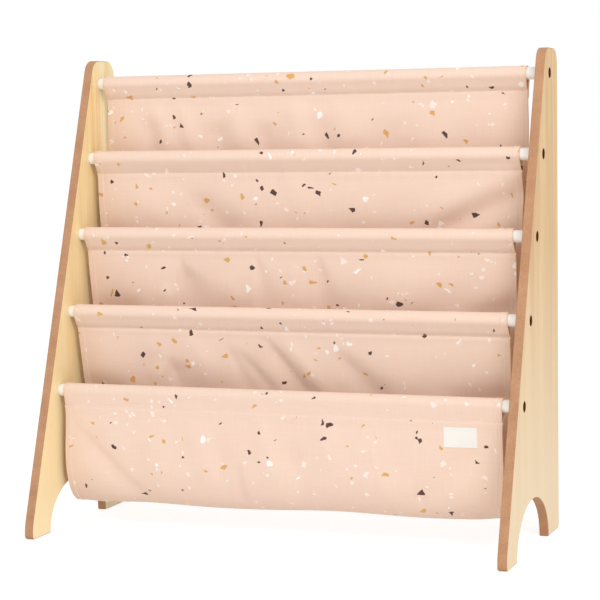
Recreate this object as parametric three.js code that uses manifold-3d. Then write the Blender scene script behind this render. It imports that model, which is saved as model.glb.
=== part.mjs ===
// A sling bookshelf for a child's room: two tapering side panels with arched feet, five white rods
// bolted between them, and a sewn cloth sling that hangs from the rods in four open pockets.
//
// Millimetres. X runs along the rods, Y from the front (low) to the back (high), Z up from the floor.
// The origin is on the floor, in the middle of the shelf's width and depth.

import * as THREE from "three";
import { mergeVertices } from "three/addons/utils/BufferGeometryUtils.js";
import Module from "manifold-3d";

// Whole shelf
const shelfWidth = 630;
const rodCount = 5;
const fitGap = 0.3; // drawn between pieces that seat on each other
const cutOverrun = 2; // how far every cutter reaches past the face it cuts

// Side panels
const panelHeight = 610;
const panelDepth = 265;
const panelThickness = 12;
const panelTopWidth = 61; // along the top, before the corners are rounded
const panelTopRadius = 20;
const panelEdgeRound = 1.5;
const frontFootLength = 49;
const rearFootLength = 58;
const archHeight = 62;
const footCornerRadius = 5;
const toeHeight = 15; // where the leaning front edge would meet the upright front of the foot

// Rods: painted steel tubes with a threaded insert in each end
const rodDiameter = 16;
const rodWall = 1.2;
const topRodDrop = 31; // from the top of the panel down to the axis of the highest rod
const lowestRodHeight = 181;
const rodSetback = 30; // level distance from the panel's front edge back to each rod's axis
const socketDepth = 4;
const insertFlange = 1.5;
const insertFlangeInset = 0.5;
const insertLength = 18;
const insertChamfer = 1;

// Flat-head bolts that pull the panels onto the rods
const boltDiameter = 5.8;
const boltLength = 26;
const boltHeadDiameter = 13;
const boltHeadRim = 0.6;
const boltHeadCone = 3.2;
const boltHeadRecess = 0.3;
const boltTipChamfer = 0.8;
const hexKeySize = 4; // across the flats
const hexKeyDepth = 2.6;

// Cloth sling
const clothThickness = 1;
const slingSideGap = 12; // bare rod between the cloth and each panel, with the cloth in the middle
const slingShift = -4; // the cloth has slid this far along the rods, to the left
const seamDrop = 21; // from the rod's axis down to the top of its seam
const seamBand = 4; // height over which the layers of a sleeve are sewn together
const seamSetback = 4; // behind the rod's axis
const lipSetforward = 5; // the lowest seam hangs this far in front of its rod
const stitchClearance = 2; // between the seam and the point of the sleeve's bore
const groundClearance = 34; // under the lowest pocket
const sleeveSlack = 1; // between the rod and the cloth that goes over it
const topWallSlopeShare = 0; // how far the highest back wall hangs back for each step down
const lowWallSlopeShare = 0.16; // the same for the lowest back wall
const layerSpread = 4; // between the walls of two pockets that share a seam, at the bottom
const pocketRoundHeight = 55; // of a pocket's round bottom
const quarterRoundShare = 0.5523; // steers a curve into a quarter of an ellipse

// Uneven sag of the cloth
const hemTilt = 6; // the bottom hangs this much higher at its right-hand end than at its left
const sagDepth = 1.5;
const sagPitch = 260;

// Sewn label on the front pocket
const labelWidth = 42;
const labelHeight = 25;
const labelThickness = 0.6;
const labelSideInset = 29; // from the cloth's right-hand edge
const labelSeamGap = 2; // below the lower edge of the seam

// Facets
const rodSegments = 20;
const fastenerSegments = 12;
const edgeSegments = 2;
const outlineSegments = 12;
const sleeveSegments = 4;
const wallSteps = 3; // down each wall of a pocket
const roundSteps = 6; // round each half of its bottom
const clothStations = 9;
const labelStations = 3;

// Values that follow from those
const innerWidth = shelfWidth - 2 * panelThickness;
const rodRadius = rodDiameter / 2;
const boltRadius = boltDiameter / 2;
const boltHeadRadius = boltHeadDiameter / 2;
const insertFaceX = innerWidth / 2 + socketDepth - fitGap;
const rodHalfLength = insertFaceX - insertFlange - fitGap;
const slingHalfWidth = innerWidth / 2 - slingSideGap;
const sleeveBoreRadius = rodRadius + sleeveSlack;
const sleeveOuterRadius = sleeveBoreRadius + clothThickness;
const layerStep = clothThickness + fitGap;

const oak = new THREE.MeshStandardMaterial({ color: 0xf0d3a0, roughness: 0.5 });
const whitePaint = new THREE.MeshStandardMaterial({ color: 0xf5f4f2, roughness: 0.3 });
const zincSteel = new THREE.MeshStandardMaterial({ color: 0xb5b5b0, roughness: 0.4, metalness: 1 });
const darkBronze = new THREE.MeshStandardMaterial({ color: 0x6b5234, roughness: 0.35, metalness: 1 });
const clayCloth = new THREE.MeshStandardMaterial({ color: 0xf0ccb6, roughness: 0.9 });
const labelCloth = new THREE.MeshStandardMaterial({ color: 0xf7efe4, roughness: 0.8 });

const wasm = await Module();
wasm.setup();

// Places that several pieces share. In a Vector2, x is the place along the depth and y the height.

// The straight front edge of the panels at a given height.
function frontEdge(height) {
  const rise = (height - toeHeight) / (panelHeight - toeHeight);
  return (panelDepth - panelTopWidth) * rise - panelDepth / 2;
}

// The axis of a rod, counted from the top.
function rodAxis(number) {
  const height = THREE.MathUtils.lerp(panelHeight - topRodDrop, lowestRodHeight, number / (rodCount - 1));
  return new THREE.Vector2(frontEdge(height) + rodSetback, height);
}

// The top of the seam under a rod, in the middle of the front layer of cloth.
function seamTop(number) {
  const shift = number === rodCount - 1 ? -lipSetforward : seamSetback;
  return rodAxis(number).add(new THREE.Vector2(shift, -seamDrop));
}

// Turns a section, drawn with the depth to the right and the height up, so that it runs along X.
const sectionTurn = new THREE.Quaternion().setFromRotationMatrix(
  new THREE.Matrix4().makeBasis(
    new THREE.Vector3(0, 1, 0),
    new THREE.Vector3(0, 0, 1),
    new THREE.Vector3(1, 0, 0),
  ),
);

// Turns a revolved piece so that its axis points away from the middle of the shelf.
function outwardTurn(side) {
  return new THREE.Quaternion().setFromAxisAngle(new THREE.Vector3(0, 0, 1), (-side * Math.PI) / 2);
}

function placeOnRod(mesh, side, number, x) {
  const axis = rodAxis(number);
  mesh.quaternion.copy(outwardTurn(side));
  mesh.position.set(side * x, axis.x, axis.y);
  return mesh;
}

// Joining and cutting

function toSolid(geometry) {
  const bare = geometry.clone();
  bare.deleteAttribute("normal");
  bare.deleteAttribute("uv");
  const merged = mergeVertices(bare);
  return new wasm.Manifold(
    new wasm.Mesh({
      numProp: 3,
      vertProperties: new Float32Array(merged.attributes.position.array),
      triVerts: new Uint32Array(merged.index.array),
    }),
  );
}

function toGeometry(solid) {
  const mesh = solid.getMesh();
  const geometry = new THREE.BufferGeometry();
  geometry.setAttribute("position", new THREE.BufferAttribute(mesh.vertProperties, mesh.numProp));
  geometry.setIndex(new THREE.BufferAttribute(mesh.triVerts, 1));
  geometry.computeVertexNormals();
  return geometry;
}

// A body of revolution about Y, from pairs of radius and place, listed from the low end up.
function revolve(pairs, segments) {
  return new THREE.LatheGeometry(pairs.map((pair) => new THREE.Vector2(...pair)), segments);
}

// Side panels

// From the toe round the arch and the back foot, up the back, and down the leaning front edge. The
// bend between the leaning edge and the upright toe ends where the toe's rounded corner begins.
function panelOutline() {
  const front = -panelDepth / 2;
  const back = panelDepth / 2;
  const archRadius = (panelDepth - frontFootLength - rearFootLength) / 2;
  const archCentre = front + frontFootLength + archRadius;
  const leanAngle = Math.atan2(panelDepth - panelTopWidth, panelHeight - toeHeight);
  const cornerCentre = back - panelTopWidth + panelTopRadius * Math.tan((Math.PI / 2 - leanAngle) / 2);
  const toeBendRadius = (toeHeight - footCornerRadius) / Math.tan(leanAngle / 2);

  const outline = new THREE.Shape();
  outline.moveTo(front + footCornerRadius, 0);
  outline.lineTo(front + frontFootLength, 0);
  outline.absellipse(archCentre, 0, archRadius, archHeight, Math.PI, 0, true);
  outline.lineTo(back - footCornerRadius, 0);
  outline.absarc(back - footCornerRadius, footCornerRadius, footCornerRadius, -Math.PI / 2, 0, false);
  outline.absarc(
    back - panelTopRadius, panelHeight - panelTopRadius, panelTopRadius, 0, Math.PI / 2, false);
  outline.absarc(
    cornerCentre, panelHeight - panelTopRadius, panelTopRadius, Math.PI / 2, Math.PI - leanAngle, false);
  outline.absarc(
    front + toeBendRadius, footCornerRadius, toeBendRadius, Math.PI - leanAngle, Math.PI, false);
  outline.absarc(
    front + footCornerRadius, footCornerRadius, footCornerRadius, Math.PI, 1.5 * Math.PI, false);
  return outline;
}

// A bolt's length and head, grown by a clearance: the same profile makes the bolt and its hole.
function boltProfile(clearance) {
  const shank = boltRadius + clearance;
  const head = boltHeadRadius + clearance;
  return [
    [0, -boltLength],
    [shank - boltTipChamfer, -boltLength],
    [shank, -boltLength + boltTipChamfer],
    [shank, -boltHeadRim - boltHeadCone],
    [head, -boltHeadRim],
    [head, 0],
    [0, 0],
  ];
}

// The bolt's hole runs from its seat out past the panel's face.
function boltHole() {
  const profile = boltProfile(fitGap);
  const mouth = profile[profile.length - 2][0];
  return revolve(
    [...profile.slice(0, -2), [mouth, cutOverrun], [0, cutOverrun]],
    fastenerSegments,
  ).translate(0, -boltHeadRecess, 0);
}

function rodSocket() {
  const length = socketDepth + cutOverrun;
  return new THREE.CylinderGeometry(rodRadius + fitGap, rodRadius + fitGap, length, rodSegments)
    .translate(0, socketDepth - panelThickness - length / 2, 0);
}

function panelGeometry(side) {
  const depth = panelThickness - 2 * panelEdgeRound;
  const blank = new THREE.ExtrudeGeometry(panelOutline(), {
    depth,
    curveSegments: outlineSegments,
    bevelThickness: panelEdgeRound,
    bevelSize: panelEdgeRound,
    bevelOffset: -panelEdgeRound,
    bevelSegments: edgeSegments,
  }).translate(0, 0, -depth / 2).applyQuaternion(sectionTurn);

  let solid = toSolid(blank);
  for (let number = 0; number < rodCount; number += 1) {
    const axis = rodAxis(number);
    for (const cutter of [boltHole(), rodSocket()]) {
      cutter.applyQuaternion(outwardTurn(side));
      cutter.translate((side * panelThickness) / 2, axis.x, axis.y);
      solid = solid.subtract(toSolid(cutter));
    }
  }
  return toGeometry(solid);
}

function sidePanel(side, name) {
  const panel = new THREE.Mesh(panelGeometry(side), oak);
  panel.name = name;
  panel.position.x = (side * (shelfWidth - panelThickness)) / 2;
  return panel;
}

// Rods and their fastenings

function rod(number) {
  const inner = rodRadius - rodWall;
  const tube = revolve(
    [
      [inner, -rodHalfLength],
      [rodRadius, -rodHalfLength],
      [rodRadius, rodHalfLength],
      [inner, rodHalfLength],
      [inner, -rodHalfLength],
    ],
    rodSegments,
  );
  const mesh = placeOnRod(new THREE.Mesh(tube, whitePaint), 1, number, 0);
  mesh.name = `rod_${number + 1}`;
  return mesh;
}

// A flanged bush that fills the end of a tube, bored for the bolt. Its flange covers the tube's end.
function insert(side, sideName, number) {
  const bore = boltRadius + fitGap;
  const body = rodRadius - rodWall - fitGap;
  const flange = rodRadius - insertFlangeInset;
  const end = -insertFlange - insertLength;
  const bush = revolve(
    [
      [bore, end],
      [body - insertChamfer, end],
      [body, end + insertChamfer],
      [body, -insertFlange],
      [flange, -insertFlange],
      [flange, 0],
      [bore, 0],
      [bore, end],
    ],
    fastenerSegments,
  );
  const mesh = placeOnRod(new THREE.Mesh(bush, zincSteel), side, number, insertFaceX);
  mesh.name = `${sideName}_insert_${number + 1}`;
  return mesh;
}

function boltGeometry() {
  const body = toSolid(revolve(boltProfile(0), fastenerSegments));
  const keyRadius = hexKeySize / 2 / Math.cos(Math.PI / 6);
  const keyLength = hexKeyDepth + cutOverrun;
  const key = new THREE.CylinderGeometry(keyRadius, keyRadius, keyLength, 6)
    .translate(0, cutOverrun - keyLength / 2, 0);
  return toGeometry(body.subtract(toSolid(key)));
}

function bolt(side, sideName, number, geometry) {
  const x = shelfWidth / 2 - boltHeadRecess;
  const mesh = placeOnRod(new THREE.Mesh(geometry, darkBronze), side, number, x);
  mesh.name = `${sideName}_bolt_${number + 1}`;
  return mesh;
}

// Cloth sling

// Where the wall under a seam hangs at a given height. Each wall slopes back as it goes down, more
// from pocket to pocket, except the front of the lowest pocket, which hangs straight down.
function wallDepth(number, height) {
  const slope = THREE.MathUtils.lerp(topWallSlopeShare, lowWallSlopeShare, number / (rodCount - 2));
  const seam = seamTop(number);
  return seam.x + (number === rodCount - 1 ? 0 : slope * (seam.y - seamBand - height));
}

// The places that shape a pocket: its seams, the lowest point of its cloth, the height at which its
// round bottom begins, and how its walls run above that. Two pockets share each middle seam: the
// front wall of the upper pocket hangs a little behind the back wall of the lower one.
function pocketPlaces(number) {
  const lowest = number === rodCount - 2;
  const upper = seamTop(number);
  const lower = seamTop(number + 1);
  const bottom = rodAxis(number + 1).y - (lowestRodHeight - groundClearance);
  const round = bottom + pocketRoundHeight;
  const backWall = (height) => wallDepth(number, height);
  const frontWall = (height) => wallDepth(number + 1, height) + (lowest ? 0 : layerSpread);
  return { lowest, upper, lower, bottom, round, backWall, frontWall };
}

// The middle line of a pocket's cloth, from below its upper seam, round the bottom, to its front.
function pocketSpine(number) {
  const { lowest, upper, lower, bottom, round, backWall, frontWall } = pocketPlaces(number);
  const steered = round - quarterRoundShare * pocketRoundHeight;
  const middle = (backWall(round) + frontWall(round)) / 2;
  const reach = quarterRoundShare * (backWall(round) - frontWall(round)) / 2;
  const spine = new THREE.Path();
  spine.moveTo(upper.x, upper.y - seamBand);
  spine.lineTo(backWall(round), round);
  spine.bezierCurveTo(backWall(steered), steered, middle + reach, bottom, middle, bottom);
  spine.bezierCurveTo(middle - reach, bottom, frontWall(steered), steered, frontWall(round), round);
  spine.lineTo(lowest ? lower.x : lower.x + 2 * layerStep, lowest ? lower.y - seamBand : lower.y);
  return spine;
}

// Points beside a pocket's middle line, to its left as it runs, closer together round its bottom
// than on its walls.
function besideSpine(number, distance) {
  const stretches = pocketSpine(number).curves;
  const steps = [wallSteps, roundSteps, roundSteps, wallSteps];
  return stretches.flatMap((curve, stretch) => {
    const last = stretch === stretches.length - 1;
    return Array.from({ length: steps[stretch] + (last ? 1 : 0) }, (_, step) => {
      const share = step / steps[stretch];
      const tangent = curve.getTangent(share);
      const left = new THREE.Vector2(-tangent.y, tangent.x);
      return curve.getPoint(share).addScaledVector(left, distance);
    });
  });
}

// The angle at which a straight run of cloth from a point below meets a circle round the rod.
function tangentAngle(axis, point, radius, side) {
  const reach = point.clone().sub(axis);
  return reach.angle() + side * Math.acos(radius / reach.length());
}

// Adds a sleeve to a section: up the back of the seam, over the rod and down to the seam's front.
function addSleeve(section, number) {
  const axis = rodAxis(number);
  const seam = seamTop(number);
  const back = new THREE.Vector2(seam.x + 1.5 * clothThickness, seam.y);
  const front = new THREE.Vector2(seam.x - clothThickness / 2, seam.y);
  section.lineTo(back.x, back.y - seamBand);
  section.lineTo(back.x, back.y);
  section.absarc(
    axis.x, axis.y, sleeveOuterRadius,
    tangentAngle(axis, back, sleeveOuterRadius, 1),
    tangentAngle(axis, front, sleeveOuterRadius, -1),
    false,
  );
  section.lineTo(front.x, front.y);
}

// The space inside a sleeve: round over the rod, drawn down to a point above the seam.
function sleeveBore(number) {
  const axis = rodAxis(number);
  const seam = seamTop(number);
  const point = new THREE.Vector2(seam.x + clothThickness / 2, seam.y + stitchClearance);
  const bore = new THREE.Path();
  bore.moveTo(point.x, point.y);
  bore.absarc(
    axis.x, axis.y, sleeveBoreRadius,
    tangentAngle(axis, point, sleeveBoreRadius, 1),
    tangentAngle(axis, point, sleeveBoreRadius, -1),
    false,
  );
  bore.lineTo(point.x, point.y);
  return bore;
}

function pocketSection(number) {
  const inside = besideSpine(number, -clothThickness / 2);
  const outside = besideSpine(number, clothThickness / 2);
  const section = new THREE.Shape();
  section.moveTo(outside[0].x, outside[0].y);
  addSleeve(section, number);
  section.holes.push(sleeveBore(number));
  inside.forEach((point) => section.lineTo(point.x, point.y));
  if (number === rodCount - 2) {
    addSleeve(section, number + 1);
    section.holes.push(sleeveBore(number + 1));
  }
  outside.reverse().forEach((point) => section.lineTo(point.x, point.y));
  return section;
}

// Lets the bottom of a straight length of sling sag unevenly: in slow waves, and lower at its left
// end. The sag fades out half-way up the pocket.
function sagCloth(geometry, number) {
  const { lower, bottom } = pocketPlaces(number);
  const places = geometry.attributes.position;
  for (let index = 0; index < places.count; index += 1) {
    const height = places.getY(index);
    const x = places.getZ(index);
    const share = 1 - THREE.MathUtils.smoothstep(height, bottom, (bottom + lower.y) / 2);
    const dip = sagDepth * Math.sin((2 * Math.PI * x) / sagPitch) + (hemTilt * x) / (2 * slingHalfWidth);
    places.setY(index, height + share * dip);
  }
  geometry.computeVertexNormals();
}

function hangAlongRods(section, from, to, steps, number) {
  const geometry = new THREE.ExtrudeGeometry(section, {
    depth: to - from,
    steps,
    curveSegments: sleeveSegments,
    bevelEnabled: false,
  }).translate(0, 0, from);
  sagCloth(geometry, number);
  return geometry;
}

function clothMesh(geometry, material, name) {
  const mesh = new THREE.Mesh(geometry, material);
  mesh.name = name;
  mesh.quaternion.copy(sectionTurn);
  mesh.position.x = slingShift;
  return mesh;
}

function pocketPanel(number) {
  const geometry = hangAlongRods(
    pocketSection(number), -slingHalfWidth, slingHalfWidth, clothStations, number);
  return clothMesh(geometry, clayCloth, `pocket_panel_${number + 1}`);
}

// The label lies on the outer face of the front pocket.
function sewnLabel() {
  const number = rodCount - 2;
  const { lower, frontWall } = pocketPlaces(number);
  const right = slingHalfWidth - labelSideInset;
  const face = clothThickness / 2 + fitGap;
  const top = lower.y - seamBand - labelSeamGap;
  const heights = Array.from({ length: labelStations + 1 }, (_, step) => (
    top - (labelHeight * step) / labelStations
  ));
  const section = new THREE.Shape([
    ...heights.map((height) => new THREE.Vector2(frontWall(height) - face, height)),
    ...heights.reverse().map((height) => (
      new THREE.Vector2(frontWall(height) - face - labelThickness, height)
    )),
  ]);
  const geometry = hangAlongRods(section, right - labelWidth, right, labelStations, number);
  return clothMesh(geometry, labelCloth, "sewn_label");
}

// The shelf

const shelf = new THREE.Group();
const sides = [[-1, "left"], [1, "right"]];
const boltShape = boltGeometry();

for (const [side, sideName] of sides) {
  shelf.add(sidePanel(side, `${sideName}_side_panel`));
  for (let number = 0; number < rodCount; number += 1) {
    shelf.add(insert(side, sideName, number));
    shelf.add(bolt(side, sideName, number, boltShape));
  }
}
for (let number = 0; number < rodCount; number += 1) {
  shelf.add(rod(number));
}
for (let number = 0; number < rodCount - 1; number += 1) {
  shelf.add(pocketPanel(number));
}
shelf.add(sewnLabel());

export default shelf;
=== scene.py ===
"""A sling bookshelf for a child's room: veneered side panels, white rods and a printed canvas sling."""

import logging
import math
from collections.abc import Sequence
from dataclasses import dataclass, field
from enum import Enum

import bmesh
import bpy
import numpy as np
from mathutils import Matrix, Vector
from mathutils.geometry import tessellate_polygon


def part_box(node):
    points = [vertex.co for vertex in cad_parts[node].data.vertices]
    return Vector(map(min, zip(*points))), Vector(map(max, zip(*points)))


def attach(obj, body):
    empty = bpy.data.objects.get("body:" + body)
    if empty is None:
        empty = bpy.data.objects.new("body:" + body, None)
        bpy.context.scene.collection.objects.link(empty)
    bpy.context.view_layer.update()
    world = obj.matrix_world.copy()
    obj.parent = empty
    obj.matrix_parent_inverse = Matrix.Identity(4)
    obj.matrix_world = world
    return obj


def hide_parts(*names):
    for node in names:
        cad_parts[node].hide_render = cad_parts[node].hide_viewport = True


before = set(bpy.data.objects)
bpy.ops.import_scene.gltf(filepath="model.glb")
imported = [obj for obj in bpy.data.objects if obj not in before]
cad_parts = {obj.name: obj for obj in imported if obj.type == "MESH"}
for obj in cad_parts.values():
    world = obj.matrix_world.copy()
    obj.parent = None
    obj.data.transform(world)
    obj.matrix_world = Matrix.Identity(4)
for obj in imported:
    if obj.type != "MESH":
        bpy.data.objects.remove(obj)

log = logging.getLogger("sling_bookshelf")

BODY = "root"
ROD_COUNT = 5
CLOTH_MAP = "cloth"
MM = 0.001
SLOPE_STEP = 0.4 * MM  # half the stretch of cloth over which its slope is taken


class Side(Enum):
    """Which end of the shelf a piece belongs to: the value is the sign of its x."""

    LEFT = -1
    RIGHT = 1

    @property
    def word(self) -> str:
        """The side's name in the names of pieces."""
        return self.name.lower()


# Small helpers for numbers and meshes


def linear(code: str) -> tuple[float, float, float, float]:
    """Turn a colour code such as F2D0BA into linear light.

    Args:
        code: Six hexadecimal digits, as a paint chart gives them.

    Returns:
        Red, green, blue and an alpha of one.
    """
    parts = np.array([int(code[place:place + 2], 16) for place in (0, 2, 4)]) / 255
    values = np.where(parts <= 0.04045, parts / 12.92, ((parts + 0.055) / 1.055) ** 2.4)
    return (*values.tolist(), 1.0)


def smooth(values: np.ndarray, low: float, high: float) -> np.ndarray:
    """Rise from 0 at low to 1 at high, as 3 t squared less 2 t cubed.

    Args:
        values: Where to work it out.
        low: The value at which the rise starts.
        high: The value at which it ends.

    Returns:
        The eased shares, in the shape of values.
    """
    share = np.clip((values - low) / (high - low), 0, 1)
    return share * share * (3 - 2 * share)


def grid_faces(rows: int, columns: int, start: int = 0, wrap: bool = False) -> np.ndarray:
    """Number the four corners of each cell of a grid of points stored row by row.

    Args:
        rows: Points along the first parameter.
        columns: Points along the second parameter.
        start: The number of the grid's first point.
        wrap: Whether the last column joins the first.

    Returns:
        An array of cells by four point numbers, turning from rows towards columns.
    """
    across = columns if wrap else columns - 1
    row, column = np.meshgrid(np.arange(rows - 1), np.arange(across), indexing="ij")
    beside = (column + 1) % columns
    corners = [row * columns + column, (row + 1) * columns + column,
               (row + 1) * columns + beside, row * columns + beside]
    return np.stack([corner.ravel() for corner in corners], axis=1) + start


def closed_outward(points: np.ndarray, faces: list[list[int]]) -> list[list[int]]:
    """Turn a closed body's faces over if it encloses less than nothing.

    The volume is a sixth of the sum, over fans of triangles, of each triple product of corners.

    Args:
        points: The body's points.
        faces: Its faces, which all turn the same way.

    Returns:
        The faces, pointing out.
    """
    fans = np.array([[face[0], face[k], face[k + 1]] for face in faces for k in range(1, len(face) - 1)])
    a, b, c = points[fans[:, 0]], points[fans[:, 1]], points[fans[:, 2]]
    volume = np.einsum("ij,ij->i", a, np.cross(b, c)).sum()
    return faces if volume > 0 else [face[::-1] for face in faces]


def unit(vectors: np.ndarray) -> np.ndarray:
    """Vectors of length one along the given ones."""
    return vectors / np.linalg.norm(vectors, axis=-1, keepdims=True)


def closed_sheet(upper: np.ndarray, lower: np.ndarray) -> tuple[np.ndarray, list[list[int]]]:
    """Join the two faces of a sheet, each a grid of points, by a narrow band round their border.

    Args:
        upper: Points of the face on the side of the sheet's normal, rows by columns by three.
        lower: Points of the other face, in the same order.

    Returns:
        The points and the faces of the closed body, with the faces pointing out.
    """
    rows, columns = upper.shape[:2]
    count = rows * columns
    number = np.arange(count).reshape(rows, columns)
    border = np.concatenate([number[0, :-1], number[:-1, -1], number[-1, :0:-1], number[:0:-1, 0]])
    beside = np.roll(border, -1)
    band = np.stack([border, beside, beside + count, border + count], 1)
    faces = [grid_faces(rows, columns)[:, ::-1], grid_faces(rows, columns, count), band[:, ::-1]]
    points = np.concatenate([upper.reshape(-1, 3), lower.reshape(-1, 3)])
    return points, closed_outward(points, np.vstack(faces).tolist())


def mesh_piece(name: str, points: np.ndarray, faces: Sequence, material: bpy.types.Material,
               sharp_above: float | None = None) -> bpy.types.Object:
    """Make a mesh object that stands at the origin, with its place in its points.

    Args:
        name: The piece's name.
        points: Its points, in metres.
        faces: Its faces as numbers of points.
        material: Its finish.
        sharp_above: Edges that turn by more than this many degrees stay crisp; None keeps all soft.

    Returns:
        The new object.
    """
    mesh = bpy.data.meshes.new(name)
    mesh.from_pydata(points.tolist(), [], [list(map(int, face)) for face in faces])
    mesh.validate()
    mesh.materials.append(material)
    mesh.shade_smooth()
    piece = bpy.data.objects.new(name, mesh)
    bpy.context.scene.collection.objects.link(piece)
    if sharp_above is not None:
        mesh.set_sharp_from_angle(angle=math.radians(sharp_above))
        weighted = piece.modifiers.new("even_shading", "WEIGHTED_NORMAL")
        weighted.keep_sharp = True
        weighted.weight = 100
    return piece


def recalculate_outward(piece: bpy.types.Object) -> None:
    """Point every face of a closed mesh outwards."""
    work = bmesh.new()
    work.from_mesh(piece.data)
    bmesh.ops.recalc_face_normals(work, faces=work.faces)
    work.to_mesh(piece.data)
    work.free()


def add_cloth_map(piece: bpy.types.Object, flat: np.ndarray) -> None:
    """Give a piece a map that holds each point's place on the flat cloth, in metres."""
    corners = np.zeros(len(piece.data.loops), np.int32)
    piece.data.loops.foreach_get("vertex_index", corners)
    layer = piece.data.uv_layers.new(name=CLOTH_MAP)
    layer.data.foreach_set("uv", flat[corners].astype(np.float32).ravel())


# Finishes


class NodeGraph:
    """A material's nodes, with short calls for the ones that the finishes use."""

    def __init__(self, name: str) -> None:
        """Start a material with one principled shader."""
        self.material = bpy.data.materials.new(name)
        self.material.use_nodes = True
        self.tree = self.material.node_tree
        self.shader = self.tree.nodes["Principled BSDF"]

    def link(self, value: object, socket: bpy.types.NodeSocket) -> None:
        """Feed a socket from another socket, or set it to a plain value."""
        if isinstance(value, bpy.types.NodeSocket):
            self.tree.links.new(value, socket)
        else:
            socket.default_value = value

    def add(self, kind: str, inputs: dict | None = None, **settings: object) -> bpy.types.Node:
        """Add a node.

        Args:
            kind: Blender's name of the node's type, without the ShaderNode in front.
            inputs: What feeds its sockets, by socket name or number.
            settings: The node's own settings.

        Returns:
            The node.
        """
        node = self.tree.nodes.new("ShaderNode" + kind)
        for name, value in settings.items():
            setattr(node, name, value)
        for name, value in (inputs or {}).items():
            self.link(value, node.inputs[name])
        return node

    def math(self, operation: str, a: object, b: object = 0.0) -> bpy.types.NodeSocket:
        """One sum of two values, such as ADD or MULTIPLY."""
        return self.add("Math", {0: a, 1: b}, operation=operation).outputs[0]

    def vector(self, operation: str, a: object, b: object) -> bpy.types.NodeSocket:
        """One sum of two vectors, such as ADD or MULTIPLY."""
        return self.add("VectorMath", {0: a, 1: b}, operation=operation).outputs[0]

    def mix(self, share: object, a: object, b: object) -> bpy.types.NodeSocket:
        """Colour a turned towards colour b by a share."""
        node = self.add("Mix", data_type="RGBA")
        self.link(share, node.inputs["Factor"])
        self.link(a, node.inputs["A"])
        self.link(b, node.inputs["B"])
        return node.outputs["Result"]

    def between(self, value: object, low: float, high: float,
                to_low: float = 0.0, to_high: float = 1.0) -> bpy.types.NodeSocket:
        """Carry a value from one span to another and stop at its ends."""
        inputs = {"Value": value, "From Min": low, "From Max": high, "To Min": to_low, "To Max": to_high}
        return self.add("MapRange", inputs).outputs["Result"]

    def noise(self, place: object, scale: float, detail: float = 2.0,
              roughness: float = 0.5) -> bpy.types.NodeSocket:
        """Cloudy noise at a place, around one half."""
        inputs = {"Vector": place, "Scale": scale, "Detail": detail, "Roughness": roughness}
        return self.add("TexNoise", inputs).outputs["Fac"]

    def object_place(self) -> bpy.types.NodeSocket:
        """The place on the object, in metres."""
        return self.add("TexCoord").outputs["Object"]

    def bump(self, height: object, depth: float, strength: float = 1.0) -> bpy.types.NodeSocket:
        """Roughen the surface by a height of 0 to 1 that stands for a depth in metres."""
        inputs = {"Height": height, "Distance": depth, "Strength": strength}
        return self.add("Bump", inputs).outputs["Normal"]

    def finish(self, **sockets: object) -> bpy.types.Material:
        """Feed the shader's sockets, named with _ for each space, and give the material back."""
        for name, value in sockets.items():
            self.link(value, self.shader.inputs[name.replace("_", " ")])
        return self.material


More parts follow.
